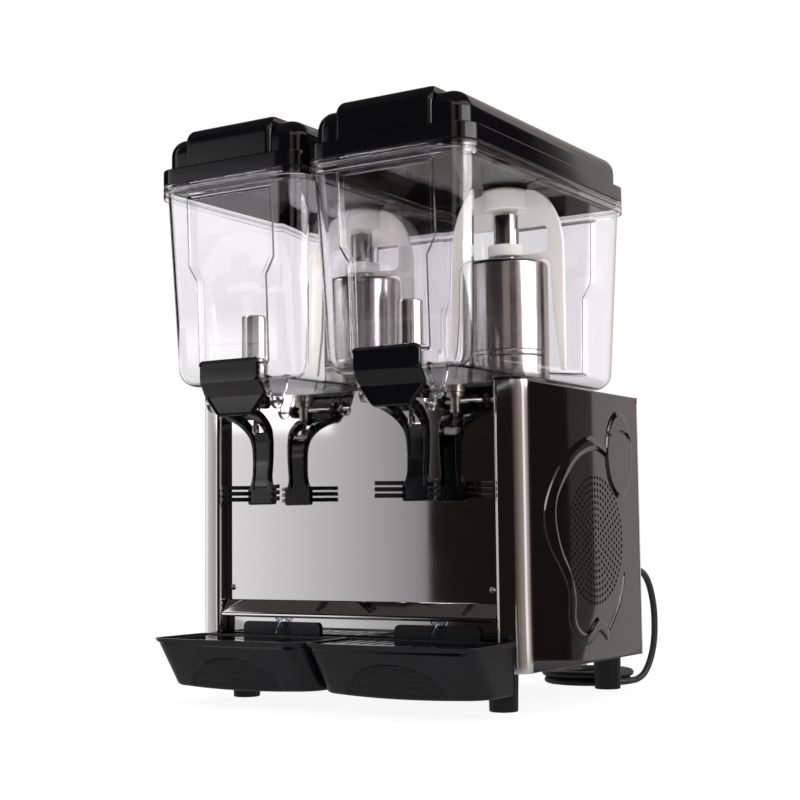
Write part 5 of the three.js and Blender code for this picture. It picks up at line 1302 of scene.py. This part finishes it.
dark = (0.012, 0.008, 0.007)
grey, pale, tan = (0.28, 0.265, 0.275), (0.95, 0.93, 0.96), (0.5, 0.42, 0.36)
between = tuple(0.43 * a + 0.57 * b for a, b in zip(pale, grey))
soft, softer, evenly = (1, 0.98, 1), (0.9, 0.88, 0.9), (1, 1)
for card in (
    ("front_low_card", -28, 27, 0, 0.56, dark),
    ("front_high_card", -34, 19, 0.56, 2.6, dark),
    ("front_left_card", -42, -34, 0, 0.45, pale, between),
    ("front_middle_card", -34, -28, 0, 0.56, between, grey),
    ("soft_box_foot", -56, -34, 0.45, 0.52, soft, softer, (1.1, 2.8)),
    ("soft_box_card", -56, -34, 0.52, 0.6, soft, softer, (2.8, 0.6)),
    ("soft_box_middle", -56, -34, 0.6, 0.8, softer, (0.7, 0.68, 0.7), (0.6, 1.9)),
    ("soft_box_skirt", -56, -34, 0.8, 1.06, soft, softer, (1.9, 1.2)),
    ("soft_box_top", -56, -34, 1.06, 1.3, soft, (0.5, 0.49, 0.5), (1.2, 0.15)),
    ("far_left_card", -56, -34, 1.3, 2.6, dark),
    ("edge_card", -140, -116, 0, 0.6, dark),
    ("left_card", -122, -66, 0.6, 2.6, dark),
    ("column_card", 27, 76, 0, 0.56, (0.03, 0.02, 0.018), (0.42, 0.34, 0.3)),
    ("right_edge_card", 92, 132, 0, 0.56, (0.62, 0.53, 0.48), (0.1, 0.08, 0.07)),
    ("left_low_card", -84, -42, 0, 0.57, (0.72, 0.68, 0.67), (0.4, 0.37, 0.36)),
    ("right_pane_card", 19, 38, 0.56, 1.5, tan),
    ("right_dark_card", 38, 56, 0.56, 1.5, dark),
    ("right_tan_card", 56, 72, 0.56, 1.5, tan, (0.8, 0.74, 0.7)),
    ("right_box_card", 72, 124, 0.56, 1.5, (1, 0.99, 0.97), None, (7, 2.5)),
    ("rear_right_card", 132, 149.6, 0, 2.6, dark),
    ("rear_card", 149.6, 151.1, 0, 2.6, (0.2, 0.17, 0.165)),
    ("warm_card", 151.1, 157, 0, 2.6, (1, 0.9, 0.87)),
    ("strip_card", 157, 215, 0, 2.6, (0.8, 0.7, 0.66), (0.36, 0.3, 0.27)),
    ("second_card", 27, 100, 0, 2.6, dark, None, evenly, 1.5),
):
    reflected_card(*card)
roof_mesh = bpy.data.meshes.new("roof_card")
roof_mesh.from_pydata(
    [(-2.3, -2.3, 2.6), (2.3, -2.3, 2.6), (2.3, 2.3, 2.6), (-2.3, 2.3, 2.6)], [], [(0, 3, 2, 1)],
)
roof = added("roof_card", roof_mesh)
roof_mesh.materials.append(finish(
    "roof_card", (0, 0, 0), 1.0, Emission_Color=(0.05, 0.04, 0.036, 1), Emission_Strength=1,
))
roof.visible_camera = roof.visible_diffuse = roof.visible_transmission = roof.visible_shadow = False

soft_lamp("key_lamp", (-1.4, -1.6, 1.7), 1.0, 22)
soft_lamp("side_lamp", (1.9, -0.2, 1.2), 0.9, 12)
soft_lamp("top_lamp", (0, 0.3, 2.2), 1.2, 14)

view_box = bpy.context.scene.view_settings
view_box.view_transform = "Standard"
